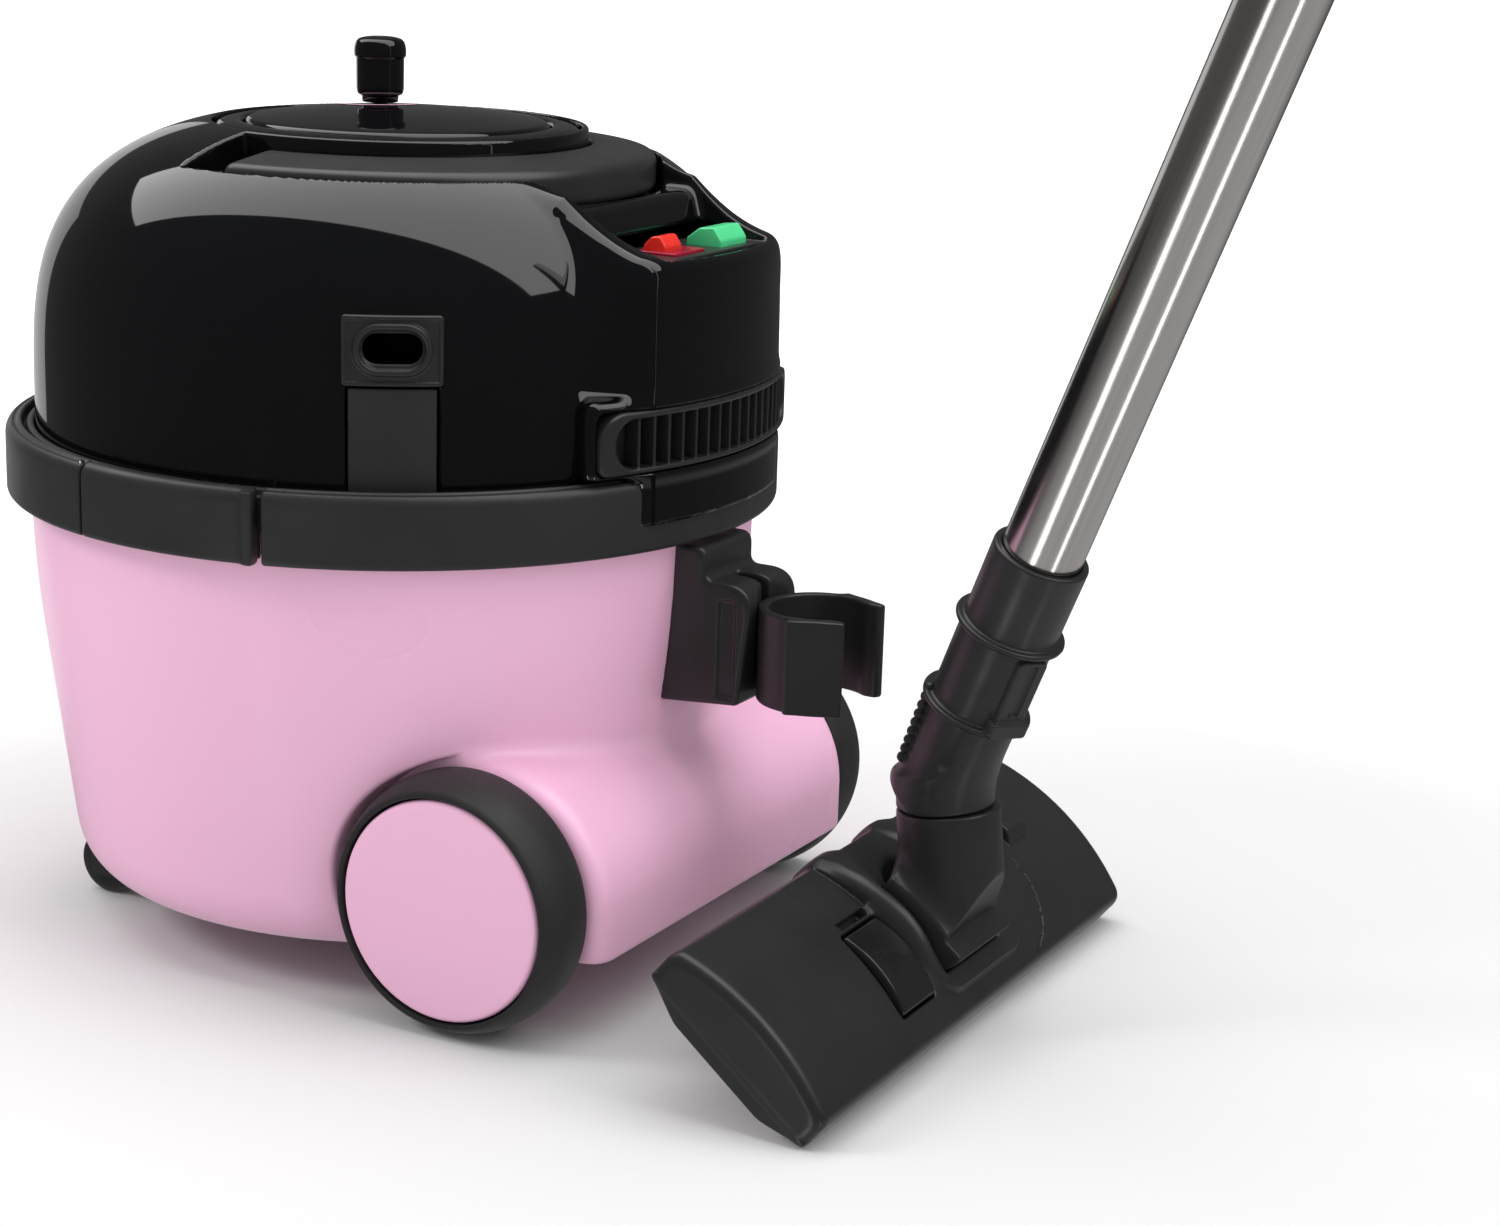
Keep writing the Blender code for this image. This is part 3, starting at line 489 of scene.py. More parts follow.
def sweep_angle(x, y, opening):
    """Negative behind two planes through the axis, each an angle below the X axis."""
    turn = radians(opening)
    return -(y * cos(turn) + np.abs(x) * sin(turn))


def hood_field(x, y, z):
    """Dome with the switch block behind it and a flare over the grille."""
    r = np.hypot(x, y)
    arc = np.degrees(np.arctan2(x, y))                # 0 at the back, + to the left
    shell = dome(r, z)
    top = z - np.minimum(287.3 + 0.0088 * np.maximum(161 - y, 0) ** 2, 309.0)
    block = smax(smax(top * 0.93, np.abs(x) - BLOCK_HALF, 9.0), r - BLOCK_R, 7.0)
    block = smax(block, 55 - y, 4.0)
    fillet = 5 + 13 * np.clip((302 - z) / 40, 0, 1)
    body = smin(shell, block, fillet)
    flank = radians(1) * (np.abs(arc) - 28.7) * BACK_ARC_R
    flare = smax(smax(r - 159.8, z - 236.3, 5.0), flank, 6.0)
    flare = smax(smax(flare, 120 - y, 4.0), 206 - z, 2.0)
    body = smin(body, flare, 5.0)
    body = smax(body, 186.3 - z, 1.0)
    return body


def hood_openings(x, y, z):
    """Everything that is cut out of the hood, as one field."""
    r = np.hypot(x, y)
    inner = smax(smax(dome(r, z) + 3.2, z - 291, 3.0), 150 - z, 1.0)
    channel = smax(smax(CHANNEL_IN - r, r - CHANNEL_OUT, 0.6), 295.0 - z, 1.5)
    channel = smax(channel, sweep_angle(x, y, 14.5), 2.0)
    lid_seat = smax(r - LID_SEAT_R, 317.5 - z, 1.0)
    bore = smax(r - BORE_R, 270 - z, 1.0)
    panel = (SHELF_Z - 2.2 * (y - SHELF_Y) - z) / 2.42
    floor = smax(DECK_Z - z, smin(SHELF_Z - z, panel, 4.0), 1.5)
    walls = np.abs(x) - 40.5 - 0.27 * np.maximum(z - DECK_Z, 0)
    deck = smax(smax(floor, walls * 0.96, 3.0), 92 - y, 2.0)
    deck = smax(deck, r - 156.5, 2.0)
    openings = smin(inner, channel, 0.6)
    openings = smin(openings, lid_seat, 0.6)
    openings = smin(openings, bore, 0.6)
    openings = smin(openings, deck, 3.0)
    return openings


def small_recesses(x, y, z):
    """Seats of the grille, the cable outlet and the strip below it."""
    r = np.hypot(x, y)
    arc = np.degrees(np.arctan2(x, y))
    back = radians(1) * arc * BACK_ARC_R
    grille = smax(plate(back, z - GRILLE_Z, 76.0, 12.4, 4.0), 150.5 - r, 0.8)
    grille = smax(grille, 100 - y, 1.0)
    side = radians(1) * (arc - OUTLET_ARC) * OUTLET_ARC_R
    outlet = smax(plate(side, z - OUTLET_Z, 18.9, 13.4, 1.2), 147.0 - r, 0.5)
    strip = smax(plate(side, z - STRIP_Z, 17.4, 20.6, 0.8), 145.8 - r, 0.5)
    hole = smax(plate(side, z - OUTLET_Z, 11.5, 6.5, 6.0), 120 - r, 1.0)
    cuts = smin(grille, outlet, 0.5)
    cuts = smin(cuts, strip, 0.5)
    return smin(cuts, smax(hole, -x, 1.0), 0.5)


def whole_hood(x, y, z):
    """Hood with its openings and recesses cut."""
    body = hood_field(x, y, z)
    body = cut(body, hood_openings(x, y, z), 1.4)
    return cut(body, small_recesses(x, y, z), 0.8)


def make_hood():
    skin("hood_shell", whole_hood, (-152, -152, 184), (152, 164, 333), 1.15, "head",
         ["hood"], paint["black_gloss"])


# ---------------------------------------------------------------- tub
WHEEL_Y = 111.0
WHEEL_Z = 45.5
WHEEL_R = 51.5
WHEEL_IN = 104.0                 # inner face of the rear tyre
ARCH_R = 54.0                    # arch over the wheel, and the well inside the tub
WELL_R = 57.5
CASTER_X = 69.0
CASTER_Y = -91.0
HOUSING_HALF = 103.0


def drum(r, z, inset=0.0):
    """Tub without its foot: a cone that ends in an upright rim."""
    side = (r - 130.6 + inset - 0.133 * z) * 0.991
    return smax(side, r - 150.2 + inset, 4.0)


def housing_field(x, y, z):
    """Wheel housing: rounded like the wheels above, upright behind, soft side edges."""
    behind = np.maximum(y - WHEEL_Y, 0) * WHEEL_R / 55.0
    over = np.hypot(behind, np.maximum(z - WHEEL_Z, 0)) - WHEEL_R
    body = smax(over, np.abs(x) - HOUSING_HALF, 10.0)
    return smax(smax(body, 25 - z, 2.5), 45 - y, 3.0)


def tub_field(x, y, z):
    """Hollow tub with wheel wells, arches, caster bosses and the hose inlet."""
    r = np.hypot(x, y)
    to_wheel = np.hypot(y - WHEEL_Y, z - WHEEL_Z)
    wide = np.abs(x)
    body = smax(drum(r, z), 12 - z, 24.0)
    body = smax(body, z - 188, 1.0)
    body = smin(body, housing_field(x, y, z), 7.0)
    hollow = smax(drum(r, z, 3.2), 15.6 - z, 18.0)
    well = smax(to_wheel - WELL_R, 99.8 - wide, 1.0)
    to_caster = np.hypot(wide - CASTER_X, y - CASTER_Y)
    boss = smax(to_caster - 29, z - 46, 1.0)
    hollow = cut(cut(hollow, well, 1.0), boss, 1.0)
    body = cut(body, hollow, 1.0)
    arch = smax(to_wheel - ARCH_R, HOUSING_HALF + 0.4 - wide, 0.6)
    body = cut(body, arch, 1.6)
    caster = smax(to_caster - 26, z - 35, 1.5)
    body = cut(body, caster, 1.5)
    inlet = smax(np.hypot(x, z - 118) - 21.4, y + 100, 1.0)
    return cut(body, inlet, 1.0)


def make_tub():
    skin("tub_shell", tub_field, (-154, -154, 9), (154, 176, 191), 1.4, "tub",
         ["drum_tub"], paint["pink_plastic"])


# ---------------------------------------------------------------- bumper ring, latches
RING_R = 160.0
RING_FOOT = 175.5
LATCH_ARC_R = 157                # radius at which the latch bay's arcs are measured


def ring_section(r, z):
    """Rounded outer band with a step and a groove inside its top edge."""
    band = smax(smax(r - RING_R, RING_FOOT - z, 2.2), z - 204.6, 6.0)
    band = smax(band, 153.2 - r, 1.0)
    foot = smax(smax(r - 156, 176.5 - z, 1.0), z - 200.5, 1.5)
    foot = smax(foot, 150.7 - r, 1.0)
    lip = smax(smax(r - 151.6, z - 203.4, 1.6), 148.5 - r, 0.8)
    lip = smax(lip, 189.5 - z, 1.0)
    section = smin(smin(band, foot, 1.0), lip, 0.8)
    groove = np.hypot(r - 156.2, (z - 205.0) * 0.8) - 1.1
    return cut(section, groove, 0.8)


def arc_of(x, y):
    """Angle from the cleaner's left side towards the back, on either side."""
    return np.degrees(np.arctan2(y, np.abs(x)))


def ring_field(x, y, z):
    """Bumper ring with a bay and end gaps for each latch."""
    r = np.hypot(x, y)
    arc = arc_of(x, y)
    section = ring_section(r, z)
    bay = radians(1) * (np.abs(arc - 1.2) - 15.4) * LATCH_ARC_R
    bay = smax(bay, 153.0 - r, 0.8)
    gap = radians(1) * (np.abs(arc - 16.0) - 0.6) * LATCH_ARC_R
    gap = smax(smax(gap, 150.6 - r, 0.3), z - 189, 0.5)
    return cut(cut(section, bay, 0.8), gap, 0.5)


def make_ring():
    skin("bumper_band", ring_field, (-162, -162, 173), (162, 162, 207), 0.95, "head",
         ["bumper_ring"], paint["black_matte"])


def latch_field(x, y, z):
    """Piece of the ring's band that fills a bay, with a grip at its back end."""
    r = np.hypot(x, y)
    arc = arc_of(x, y)
    section = smax(smax(r - RING_R, RING_FOOT - z, 2.2), z - 204.6, 6.0)
    section = smax(section, 153.9 - r, 1.0)
    ends = radians(1) * (np.abs(arc - 0.8) - 14.6) * LATCH_ARC_R
    grip = smax(smax(r - 161.4, 13.9 - arc, 0.6), smax(RING_FOOT - z, z - 203.6, 1.5), 1.0)
    grip = smax(grip, 156 - r, 1.0)
    return smax(smin(section, grip, 1.2), ends, 1.0)


def make_latches():
    for name, low, high in (("left", 140, 163), ("right", -163, -140)):
        skin(f"latch_{name}_cover", latch_field, (low, -46, 173), (high, 48, 207), 0.7,
             f"latch_{name}", [f"latch_{name}"], paint["black_matte"])


# ---------------------------------------------------------------- grille, cable outlet
def grille_field(x, y, z):
    """D-ended frame with thin upright bars, bent round the hood."""
    r = np.hypot(x, y)
    arc = np.degrees(np.arctan2(x, y))
    along_back = radians(1) * arc * BACK_ARC_R
    height = z - GRILLE_Z
    outer = plate(along_back, height, 75.7, 12.1, 4.0)
    corner = np.hypot(np.maximum(np.abs(along_back) - 63.7, 0), np.maximum(height, 0)) - 12.1
    outer = np.maximum(outer, np.minimum(corner, 5.0))
    body = smax(smax(outer, r - 161.9, 1.6), 151.5 - r, 1.0)
    window = plate(along_back, height + 0.3, 68.5, 9.6, 9.2)
    pitch = 7.75
    nearest = along_back - pitch * np.round((along_back - 2.9) / pitch) - 2.9
    bar = smax(np.abs(nearest) - 0.65, np.abs(along_back) - 61.5, 0.3)
    bar = smax(bar, r - 160.9, 0.5)
    window = cut(window, bar, 0.4)
    return cut(body, smax(window, 149 - r, 1.0), 1.3)


def louvre_field(x, y, z):
    """Dark baffle behind the bars."""
    r = np.hypot(x, y)
    arc = np.degrees(np.arctan2(x, y))
    along_back = radians(1) * arc * BACK_ARC_R
    body = smax(plate(along_back, z - GRILLE_Z, 75.0, 11.8, 3.0), r - 152.3, 0.5)
    return smax(body, 150.8 - r, 0.5)


def outlet_field(x, y, z):
    """Square plate with a rolled rim round its oval hole."""
    r = np.hypot(x, y)
    side = radians(1) * (np.degrees(np.arctan2(x, y)) - OUTLET_ARC) * OUTLET_ARC_R
    height = z - OUTLET_Z
    body = smax(plate(side, height, 18.7, 13.2, 1.4), r - 149.0, 0.6)
    edge = smax(np.abs(plate(side, height, 18.7, 13.2, 1.4) + 0.9) - 0.8, r - 149.7, 0.6)
    body = smin(body, edge, 0.5)
    oval = plate(side, height - 0.5, 13.2, 8.6, 8.4)
    rim = np.hypot(oval, (r - 149.2) * 0.9) - 1.35
    body = smin(body, rim, 0.9)
    body = smax(body, 146.9 - r, 0.4)
    hole = plate(side, height - 0.8, 11.0, 5.6, 5.4)
    return cut(body, smax(hole, 120 - r, 1.0), 1.6)


def strip_field(x, y, z):
    """Flat strip below the cable outlet, bent round the hood."""
    r = np.hypot(x, y)
    side = radians(1) * (np.degrees(np.arctan2(x, y)) - OUTLET_ARC) * OUTLET_ARC_R
    body = smax(plate(side, z - STRIP_Z, 16.4, 20.3, 0.8), r - 148.5, 0.7)
    return smax(body, 146.2 - r, 0.4)


def make_hood_fittings():
    skin("grille_frame", grille_field, (-80, 135, 205), (80, 164, 234), 0.55, "head",
         ["exhaust_grille"], paint["black_satin"])
    skin("grille_baffle", louvre_field, (-80, 130, 206), (80, 155, 233), 1.0, "head",
         [], paint["black_matte"])
    skin("outlet_plate", outlet_field, (98, 62, 241), (140, 104, 272), 0.45, "head",
         ["cable_outlet"], paint["black_satin"])
    skin("outlet_strip", strip_field, (98, 64, 200), (140, 104, 244), 0.6, "head",
         ["cable_strip"], paint["black_matte"])


# ---------------------------------------------------------------- lid, knob, handle
KNOB_X = -17.0
KNOB_Y = -21.0


def lid_height(r):
    """Top of the lid at a distance from its centre."""
    return 331.3 - 4.6 * (r / 61.0) ** 2.2


def handle_field(x, y, z):
    """Folded bail: a sloping flat top, a deep outer side and rounded ends."""
    r = np.hypot(x, y)
    top = (z - 320.6 + 0.165 * (r - 80)) * 0.986
    section = smax(smax(79.0 - r, r - 106.0, 4.0), top, 4.5)
    section = smax(section, 302.0 - z, 3.0)
    return smax(section, sweep_angle(x, y, 5.5), 7.0)


def make_top():
    lathe("lid_disc", [(0, 316, 0), (60, 316, 0.5), (61.9, 319, 1), (61.9, 325.2, 1.6),
                       (60.4, 326.9, 1.2), (54, 327.9, 4), (36, 329.9, 10), (18, 331.0, 8),
                       (0, 331.3, 0)], "reel", ["reel_lid"],
          paint["black_gloss"], segments=256)
    lathe("lid_rim", [(62.9, 318, 0), (74.3, 318, 0.5), (74.4, 323.4, 1.2), (72.2, 325.3, 1.6),
                      (66.5, 326.2, 2), (63.6, 325.9, 0.8), (62.9, 324.4, 0.6)], "head",
          ["lid_surround"], paint["black_gloss"], segments=256)
    knob = DESIGN @ Matrix.Translation((KNOB_X, KNOB_Y, 0))
    lathe("knob_grip", [(0, 316, 0), (3, 316, 0), (3, 330.9, 0.3), (7.4, 331.2, 0.3),
                        (7.6, 333.8, 0.5), (9.2, 334.4, 0.5), (9.8, 336.2, 0.8),
                        (9.9, 349.3, 0.4), (10.7, 350.0, 0.6), (10.8, 353.2, 1.4),
                        (9.8, 356.8, 2.6), (5.5, 358.0, 2.6), (0, 358.0, 0)], "knob",
          ["crank_knob"], paint["black_gloss"], knob, 96)
    skin("carry_bail", handle_field, (-108, -14, 300), (108, 108, 322), 0.85, "handle",
         ["carry_handle"], paint["black_satin"])
    print_ring()


def print_ring():
    """Plain pink ring printed on the lid round the crank knob."""
    points, faces = [], []
    count = 96
    for index in range(count):
        angle = 2 * pi * index / count
        for radius in (13.5, 16.5):
            x = KNOB_X + radius * cos(angle)
            y = KNOB_Y + radius * sin(angle)
            points.append(DESIGN @ Vector((x, y, lid_height(sqrt(x * x + y * y)) + 0.12)))
    for index in range(count):
        a, b = 2 * index, 2 * ((index + 1) % count)
        faces.append((a, a + 1, b + 1, b))
    mesh = bpy.data.meshes.new("lid_print")
    mesh.from_pydata(points, [], faces)
    finish_mesh(mesh, 60)
    show("lid_print", mesh, "reel", [], paint["pink_plastic"])


# ---------------------------------------------------------------- switches
def prism_piece(name, outline, low, high, bevel, body, nodes, material):
    """Piece with a (y, z) outline, from low to high along X, with rounded edges."""
    count = len(outline)
    points = [DESIGN @ Vector((x, y, z)) for x in (low, high) for y, z in outline]
    faces = [tuple(range(count)), tuple(range(count, 2 * count))]
    for index in range(count):
        after = (index + 1) % count
        faces.append((index, after, count + after, count + index))
    mesh = bpy.data.meshes.new(name)
    mesh.from_pydata(points, [], faces)
    finish_mesh(mesh, 30)
    made = show(name, mesh, body, nodes, material)
    edge = made.modifiers.new("edges", "BEVEL")
    edge.width = bevel * MM
    edge.segments = 4
    edge.harden_normals = True
    return made


def switch_plate_field(x, y, z):
    """Thin plate with a well for each rocker."""
    body = crate(x, y, z, ((-40, 34), (121, 150.5), (283, 286.4)), 0.8)
    for middle in (12.0, -24.0):
        well = crate(x, y, z, ((middle - 11.8, middle + 11.8), (127.2, 145.8), (280, 290)), 0.5)
        body = cut(body, well, 0.6)
    return body


def make_switches():
    skin("switch_bezel", switch_plate_field, (-42, 119, 281), (36, 153, 288), 0.55, "head",
         ["switch_plate"], paint["black_satin"])
    small = [(129.5, 285.2), (139.5, 285.2), (139.5, 289.4), (136.8, 293.2), (133.0, 292.8),
             (129.5, 289.2)]
    large = [(129.0, 285.2), (145.0, 285.2), (145.0, 288.6), (141.4, 293.6), (134.8, 293.0),
             (129.0, 288.6)]
    for name, low, high, rocker in (("red", 8.0, 21.0, small), ("green", -34.6, -13.4, large)):
        slot = f"{name}_plastic"
        prism_piece(f"{name}_rocker", rocker, low, high, 0.9, f"{name}_switch",
                    [f"{name}_switch"], paint[slot])
    tray = [(127.4, 284.4), (145.6, 284.4), (145.6, 287.4), (127.4, 287.4)]
    prism_piece("red_tray", tray, 0.4, 23.6, 0.5, "head", [], paint["dark_red"])


# ---------------------------------------------------------------- wheels and casters
def make_wheels():
    """Tyre and pink cap of each rear wheel, and the rollers of the casters."""
    for side, name in ((1, "left"), (-1, "right")):
        start = sideways((WHEEL_IN * side, WHEEL_Y, WHEEL_Z), (side, 0, 0))
        tread = [(44.6, 1.0, 0), (48.5, 0.0, 2), (51.0, 2.5, 2), (WHEEL_R, 8.0, 3),
                 (WHEEL_R, 16.0, 5), (49.6, 22.5, 4), (47.6, 26.7, 3), (46.2, 28.0, 1.0),
                 (45.0, 27.8, 0.5), (44.7, 26.1, 0.3)]
        lathe(f"tyre_{name}", tread, f"wheel_{name}", [f"wheel_{name}_tyre"],
              paint["rubber"], start, 192)
        cap = [(0, 23.5, 0), (43.8, 23.5, 0.3), (44.0, 26.1, 0.8), (43.0, 27.4, 0.9),
               (41.6, 27.6, 0.6), (0, 27.8, 0)]
        lathe(f"cap_{name}", cap, f"wheel_{name}", [f"wheel_{name}_cap"],
              paint["pink_plastic"], start, 192)
        spot = sideways((CASTER_X * side - 6.2, CASTER_Y - 8, FLOOR + 14.0), (1, 0, 0))
        roll = [(2.4, 0, 0), (11, 0, 0.8), (13.6, 1.0, 1.4), (14.0, 6.2, 4), (13.6, 11.4, 1.4),
                (11, 12.4, 0.8), (2.4, 12.4, 0)]
        lathe(f"caster_{name}_tyre", roll, f"caster_{name}_roll", [f"caster_{name}_wheel"],
              paint["rubber"], spot, 96)


# ---------------------------------------------------------------- wand dock
CLIP_X = 3.0
CLIP_Y = 203.0
CLIP_Z = 133                     # middle of the clip's height
CLIP_HALF = 19


def bracket_field(x, y, z):
    """Stepped bracket with a slot for the clip's web and a sunk panel on each side."""
    r = np.hypot(x, y)
    upper = smax(y - 162.0, z - 173.5, 5.0)
    lower = smax(y - 182.5 + 0.12 * (150 - z), z - 160.5, 13.0)
    side = smin(upper, lower, 4.0)
    side = smax(side, 108.4 - z + 0.08 * (y - 140), 2.0)
    body = smax(side, np.abs(x - CLIP_X) - 20, 2.4)
    body = cut(body, drum(r, z, -0.1), 0.5)
    slot = smax(np.abs(x - CLIP_X) - 3.0, 164.5 - y, 1.5)
    slot = smax(slot, 117 - z, 1.0)
    body = cut(body, slot, 1.6)
    panel = smax(20.0 - 1.1 - np.abs(x - CLIP_X), np.abs(y - 172.5) - 3.6, 1.0)
    panel = smax(panel, np.abs(z - 134) - 20.0, 1.5)
    body = cut(body, panel, 0.8)
    return cut(body, np.hypot(x - CLIP_X, y - CLIP_Y) - 24.4, 1.0)


def clip_field(x, y, z):
    """C-shaped ring with a flat pad on each arm and a web towards the bracket."""
    a, b = x - CLIP_X, y - CLIP_Y
    r = np.hypot(a, b)
    body = smax(smax(r - 24.0, 20.0 - r, 1.2), np.abs(z - CLIP_Z) - CLIP_HALF, 1.2)
    turn = radians(22.6)
    for mirror in (1, -1):
        out = mirror * a * cos(turn) + b * sin(turn)
        across = -mirror * a * sin(turn) + b * cos(turn)
        pad = smax(smax(out - 24.7, 20.0 - r, 1.0), np.abs(across) - 11.5, 1.2)
        pad = smax(smax(pad, 18 - out, 1.0), np.abs(z - CLIP_Z) - CLIP_HALF, 1.2)
        body = smin(body, pad, 0.8)
    mouth = smax(np.abs(a) - 15.0, -b, 1.0)
    body = cut(body, mouth, 1.6)
    web = crate(x, y, z, ((0.4, 5.6), (166, 182), (119, 150)), 0.8)
    return smin(body, web, 1.5)


def make_dock():
    skin("dock_body", bracket_field, (-20, 136, 105), (26, 185, 176), 0.8, "tub",
         ["dock_bracket"], paint["black_satin"])
    skin("dock_ring", clip_field, (-24, 164, 112), (30, 229, 154), 0.75, "tub",
         ["dock_clip"], paint["black_satin"])


# ---------------------------------------------------------------- floor tool
PEDAL = ((34.6, 61.6), (-9.5, 26.8))
NECK_LEAN_MAX = 58.5             # furthest lean of the neck towards the tool's back edge


def tool_top(v):
    """Height of the arched top across the tool."""
    return 23.0 - 8.0 * (v / TOOL_DEPTH) ** 2


def cheek_field(u, v, w):
    """Ridge beside the neck, with a sloping outer side, wider towards the back."""
    back = np.clip((-v - 16) / 22, 0, 1)
    middle = 27.6 - 5.0 * back
    spread = np.where(v > -3, 31.0, 46.0)
    rise = 8.2 * np.clip(1 - ((v + 3) / spread) ** 2, -0.6, 1)
    top = tool_top(v) + rise
    half = 3.0 + 4.5 * back + 0.45 * np.maximum(top - w, 0) * (u > middle)
    body = smax((np.abs(u - middle) - half) * 0.9, (w - top) * 0.95, 4.5)
    body = smax(body, v - 28.5, 3.0)
    return smax(body, 5 - w, 1.0)


def tool_field(u, v, w):
    """Arched cover with a sole skirt at its ends, the saddle and the pedal's window."""
    top = (w - tool_top(v)) * 0.94
    body = smax(top, np.abs(v) - TOOL_DEPTH, 4.5)
    body = smax(body, np.abs(u) - TOOL_HALF, 5.0)
    body = smax(body, -w, 2.0)
    skirt = smax(smax(np.abs(u) - TOOL_HALF + 0.3, 136.4 - np.abs(u), 0.6), -5.9 - w, 1.0)
    skirt = smax(smax(skirt, (np.abs(v) - 38.5 - 2.6 * w) * 0.36, 1.5), w - 3, 1.0)
    skirt = smax(skirt, np.abs(v) - TOOL_DEPTH + 0.5, 1.0)
    body = smin(body, skirt, 1.0)
    chamfer = (v - 27.5) * 0.45 + (w - 23.5) * 0.89
    saddle = smax((w - tool_top(v) - 3.0) * 0.93, plate(u + 8, v + 4, 36, 36, 12.0), 2.0)
    saddle = smax(saddle, chamfer, 0.6)
    body = smin(body, smax(saddle, 2 - w, 1.0), 1.5)
    for mirror in (1, -1):
        body = smin(body, cheek_field(u * mirror, v, w), 2.5)
    body = smax(body, np.abs(v) - TOOL_DEPTH - 2.0, 2.5)
    to_pin = np.hypot(v - PIVOT_V, w - PIVOT_W)
    body = cut(body, smax(to_pin - 21.0, np.abs(u) - 24.3, 1.2), 1.0)
    lean = radians(NECK_LEAN_MAX)
    reach = -(v - PIVOT_V) * sin(lean) + (w - PIVOT_W) * cos(lean)
    off = (v - PIVOT_V) * cos(lean) + (w - PIVOT_W) * sin(lean)
    body = cut(body, smax(np.hypot(u, off) - 22.0, -reach, 2.0), 1.5)
    (u0, u1), (v0, v1) = PEDAL
    window = plate(u - (u0 + u1) / 2, v - (v0 + v1) / 2, (u1 - u0) / 2 + 0.9,
                   (v1 - v0) / 2 + 0.9, 2.0)
    body = cut(body, smax(window, 10 - w, 1.0), 1.0)
    patch = smax(plate(u - 46.5, v + 27, 14.0, 11.5, 1.0), tool_top(v) - 0.8 - w, 0.3)
    body = cut(body, patch, 0.5)
    slit = smax(plate(u - 47.0, v + 13.6, 11.0, 1.6, 0.8), 17 - w, 0.5)
    body = cut(body, slit, 0.6)
    button = smax(plate(u + 88, v + 7.5, 8.5, 4.6, 1.0), w - tool_top(v) - 4.6, 1.0)
    button = smax(button, (v + 4.5) * 0.6 + (w - 25.0) * 0.8, 0.5)
    body = smin(body, smax(button, 10 - w, 1.0), 0.6)
    seam = np.abs(np.hypot(u + 44, v - 8) - 30.0) - 0.35
    seam = smax(smax(seam, u + 52, 0.5), tool_top(v) - 0.5 - w, 0.2)
    return cut(body, smax(seam, 2 - v, 0.5), 0.3)


def pedal_field(u, v, w):
    """Pedal with a rolled top and fine ribs across its middle."""
    (u0, u1), (v0, v1) = PEDAL
    body = plate(u - (u0 + u1) / 2, v - (v0 + v1) / 2, (u1 - u0) / 2, (v1 - v0) / 2, 1.6)
    crown = 25.6 - 0.0105 * (v - 6) ** 2
    ribs = 0.28 * np.cos(2 * pi * v / 1.7) * np.clip(1.2 - np.abs(v - 8) / 9, 0, 1)
    ribs = ribs * np.clip(6.5 - np.abs(u - 50), 0, 1)
    body = smax(body, (w - crown - ribs) * 0.97, 1.6)
    return smax(body, 11 - w, 1.0)


def make_tool():
    skin("tool_shell", tool_field, (-141, -45, -8), (141, 45, 33), 0.95, "floor_tool",
         ["tool_cover"], paint["black_satin"], TOOL)
    skin("tool_pedal", pedal_field, (34, -9, 9), (64, 29, 28), 0.5, "brush_pedal",
         ["brush_pedal"], paint["black_smooth"], TOOL)


# ---------------------------------------------------------------- neck
def to_axis(x, y, z, origin, way):
    """Distance along an axis and distance from it."""
    dx, dy, dz = x - origin.x, y - origin.y, z - origin.z
    run = dx * way.x + dy * way.y + dz * way.z
    square = dx * dx + dy * dy + dz * dz - run * run
    return run, np.sqrt(np.maximum(square, 1e-6))


BEND = KNUCKLE_SPOT + KNUCKLE_DIR * ELBOW
TOOL_INVERSE = TOOL_LOCAL.inverted()


def tool_coordinates(x, y, z):
    """Coordinates in the floor tool's own frame."""
    rows = [TOOL_INVERSE[i] for i in range(3)]
    return [row[0] * x + row[1] * y + row[2] * z + row[3] for row in rows]


def knuckle_field(x, y, z):
    """Collar up to the seam, spreading into a flat-topped foot with a front facet."""
    u, v, w = tool_coordinates(x, y, z)
    to_pin = np.hypot(v - PIVOT_V, w - PIVOT_W)
    foot = smax(smax(np.abs(u) - 23.4, w - 31.5, 2.0), to_pin - 20.2, 1.5)
    run, away = to_axis(x, y, z, KNUCKLE_SPOT + Vector((-0.8, 1.6, 0.2)), KNUCKLE_DIR)
    collar = smax(smax(away - 20.2, run - SEAM + 0.3, 1.6), -run - 4, 2.0)
    body = smin(foot, collar, 13.0)
    front = (v - 15.0) * 0.97 + (w - 31) * 0.22
    body = smax(body, smin(front, w - 31.5, 0.6), 0.8)
    body = smax(smax(body, 10.5 - w, 1.0), np.abs(u) - 23.4, 1.0)
    throat = smax(away - 14.0, 20 - run, 2.0)
    return cut(body, throat, 1.0)


def elbow_field(x, y, z):
    """Bent pipe from the seam to the socket with a row of beads on its side."""
    run_low, away_low = to_axis(x, y, z, BEND, -KNUCKLE_DIR)
    run_high, away_high = to_axis(x, y, z, BEND, WAND_DIR)
    reach = ELBOW - SEAM - 0.3
    belly = 17.5 + 0.9 * np.clip(run_low / reach, 0, 1)
    low = smax(smax(away_low - belly, run_low - reach, 1.4), -run_low - 4, 2.0)
    high = smax(smax(away_high - 17.6, run_high - 36, 1.0), -run_high - 4, 2.0)
    body = smin(low, high, 9.0)
    body = smax(body, run_low - reach, 1.2)
    hollow = np.minimum(smax(away_low - 13, -run_low - 4, 1.0),
                        smax(away_high - 13, -run_high - 4, 1.0))
    body = cut(body, hollow, 1.0)
    across = Vector((0.47, -0.88, 0.0))
    across = (across - WAND_DIR * across.dot(WAND_DIR)).normalized()
    for index in range(9):
        height = 39.0 - 4.1 * index
        bead = BEND + WAND_DIR * height + across * (19.3 - 0.10 * index)
        ball = np.sqrt((x - bead.x) ** 2 + (y - bead.y) ** 2 + (z - bead.z) ** 2) - 2.15
        body = smin(body, ball, 0.8)
    return body


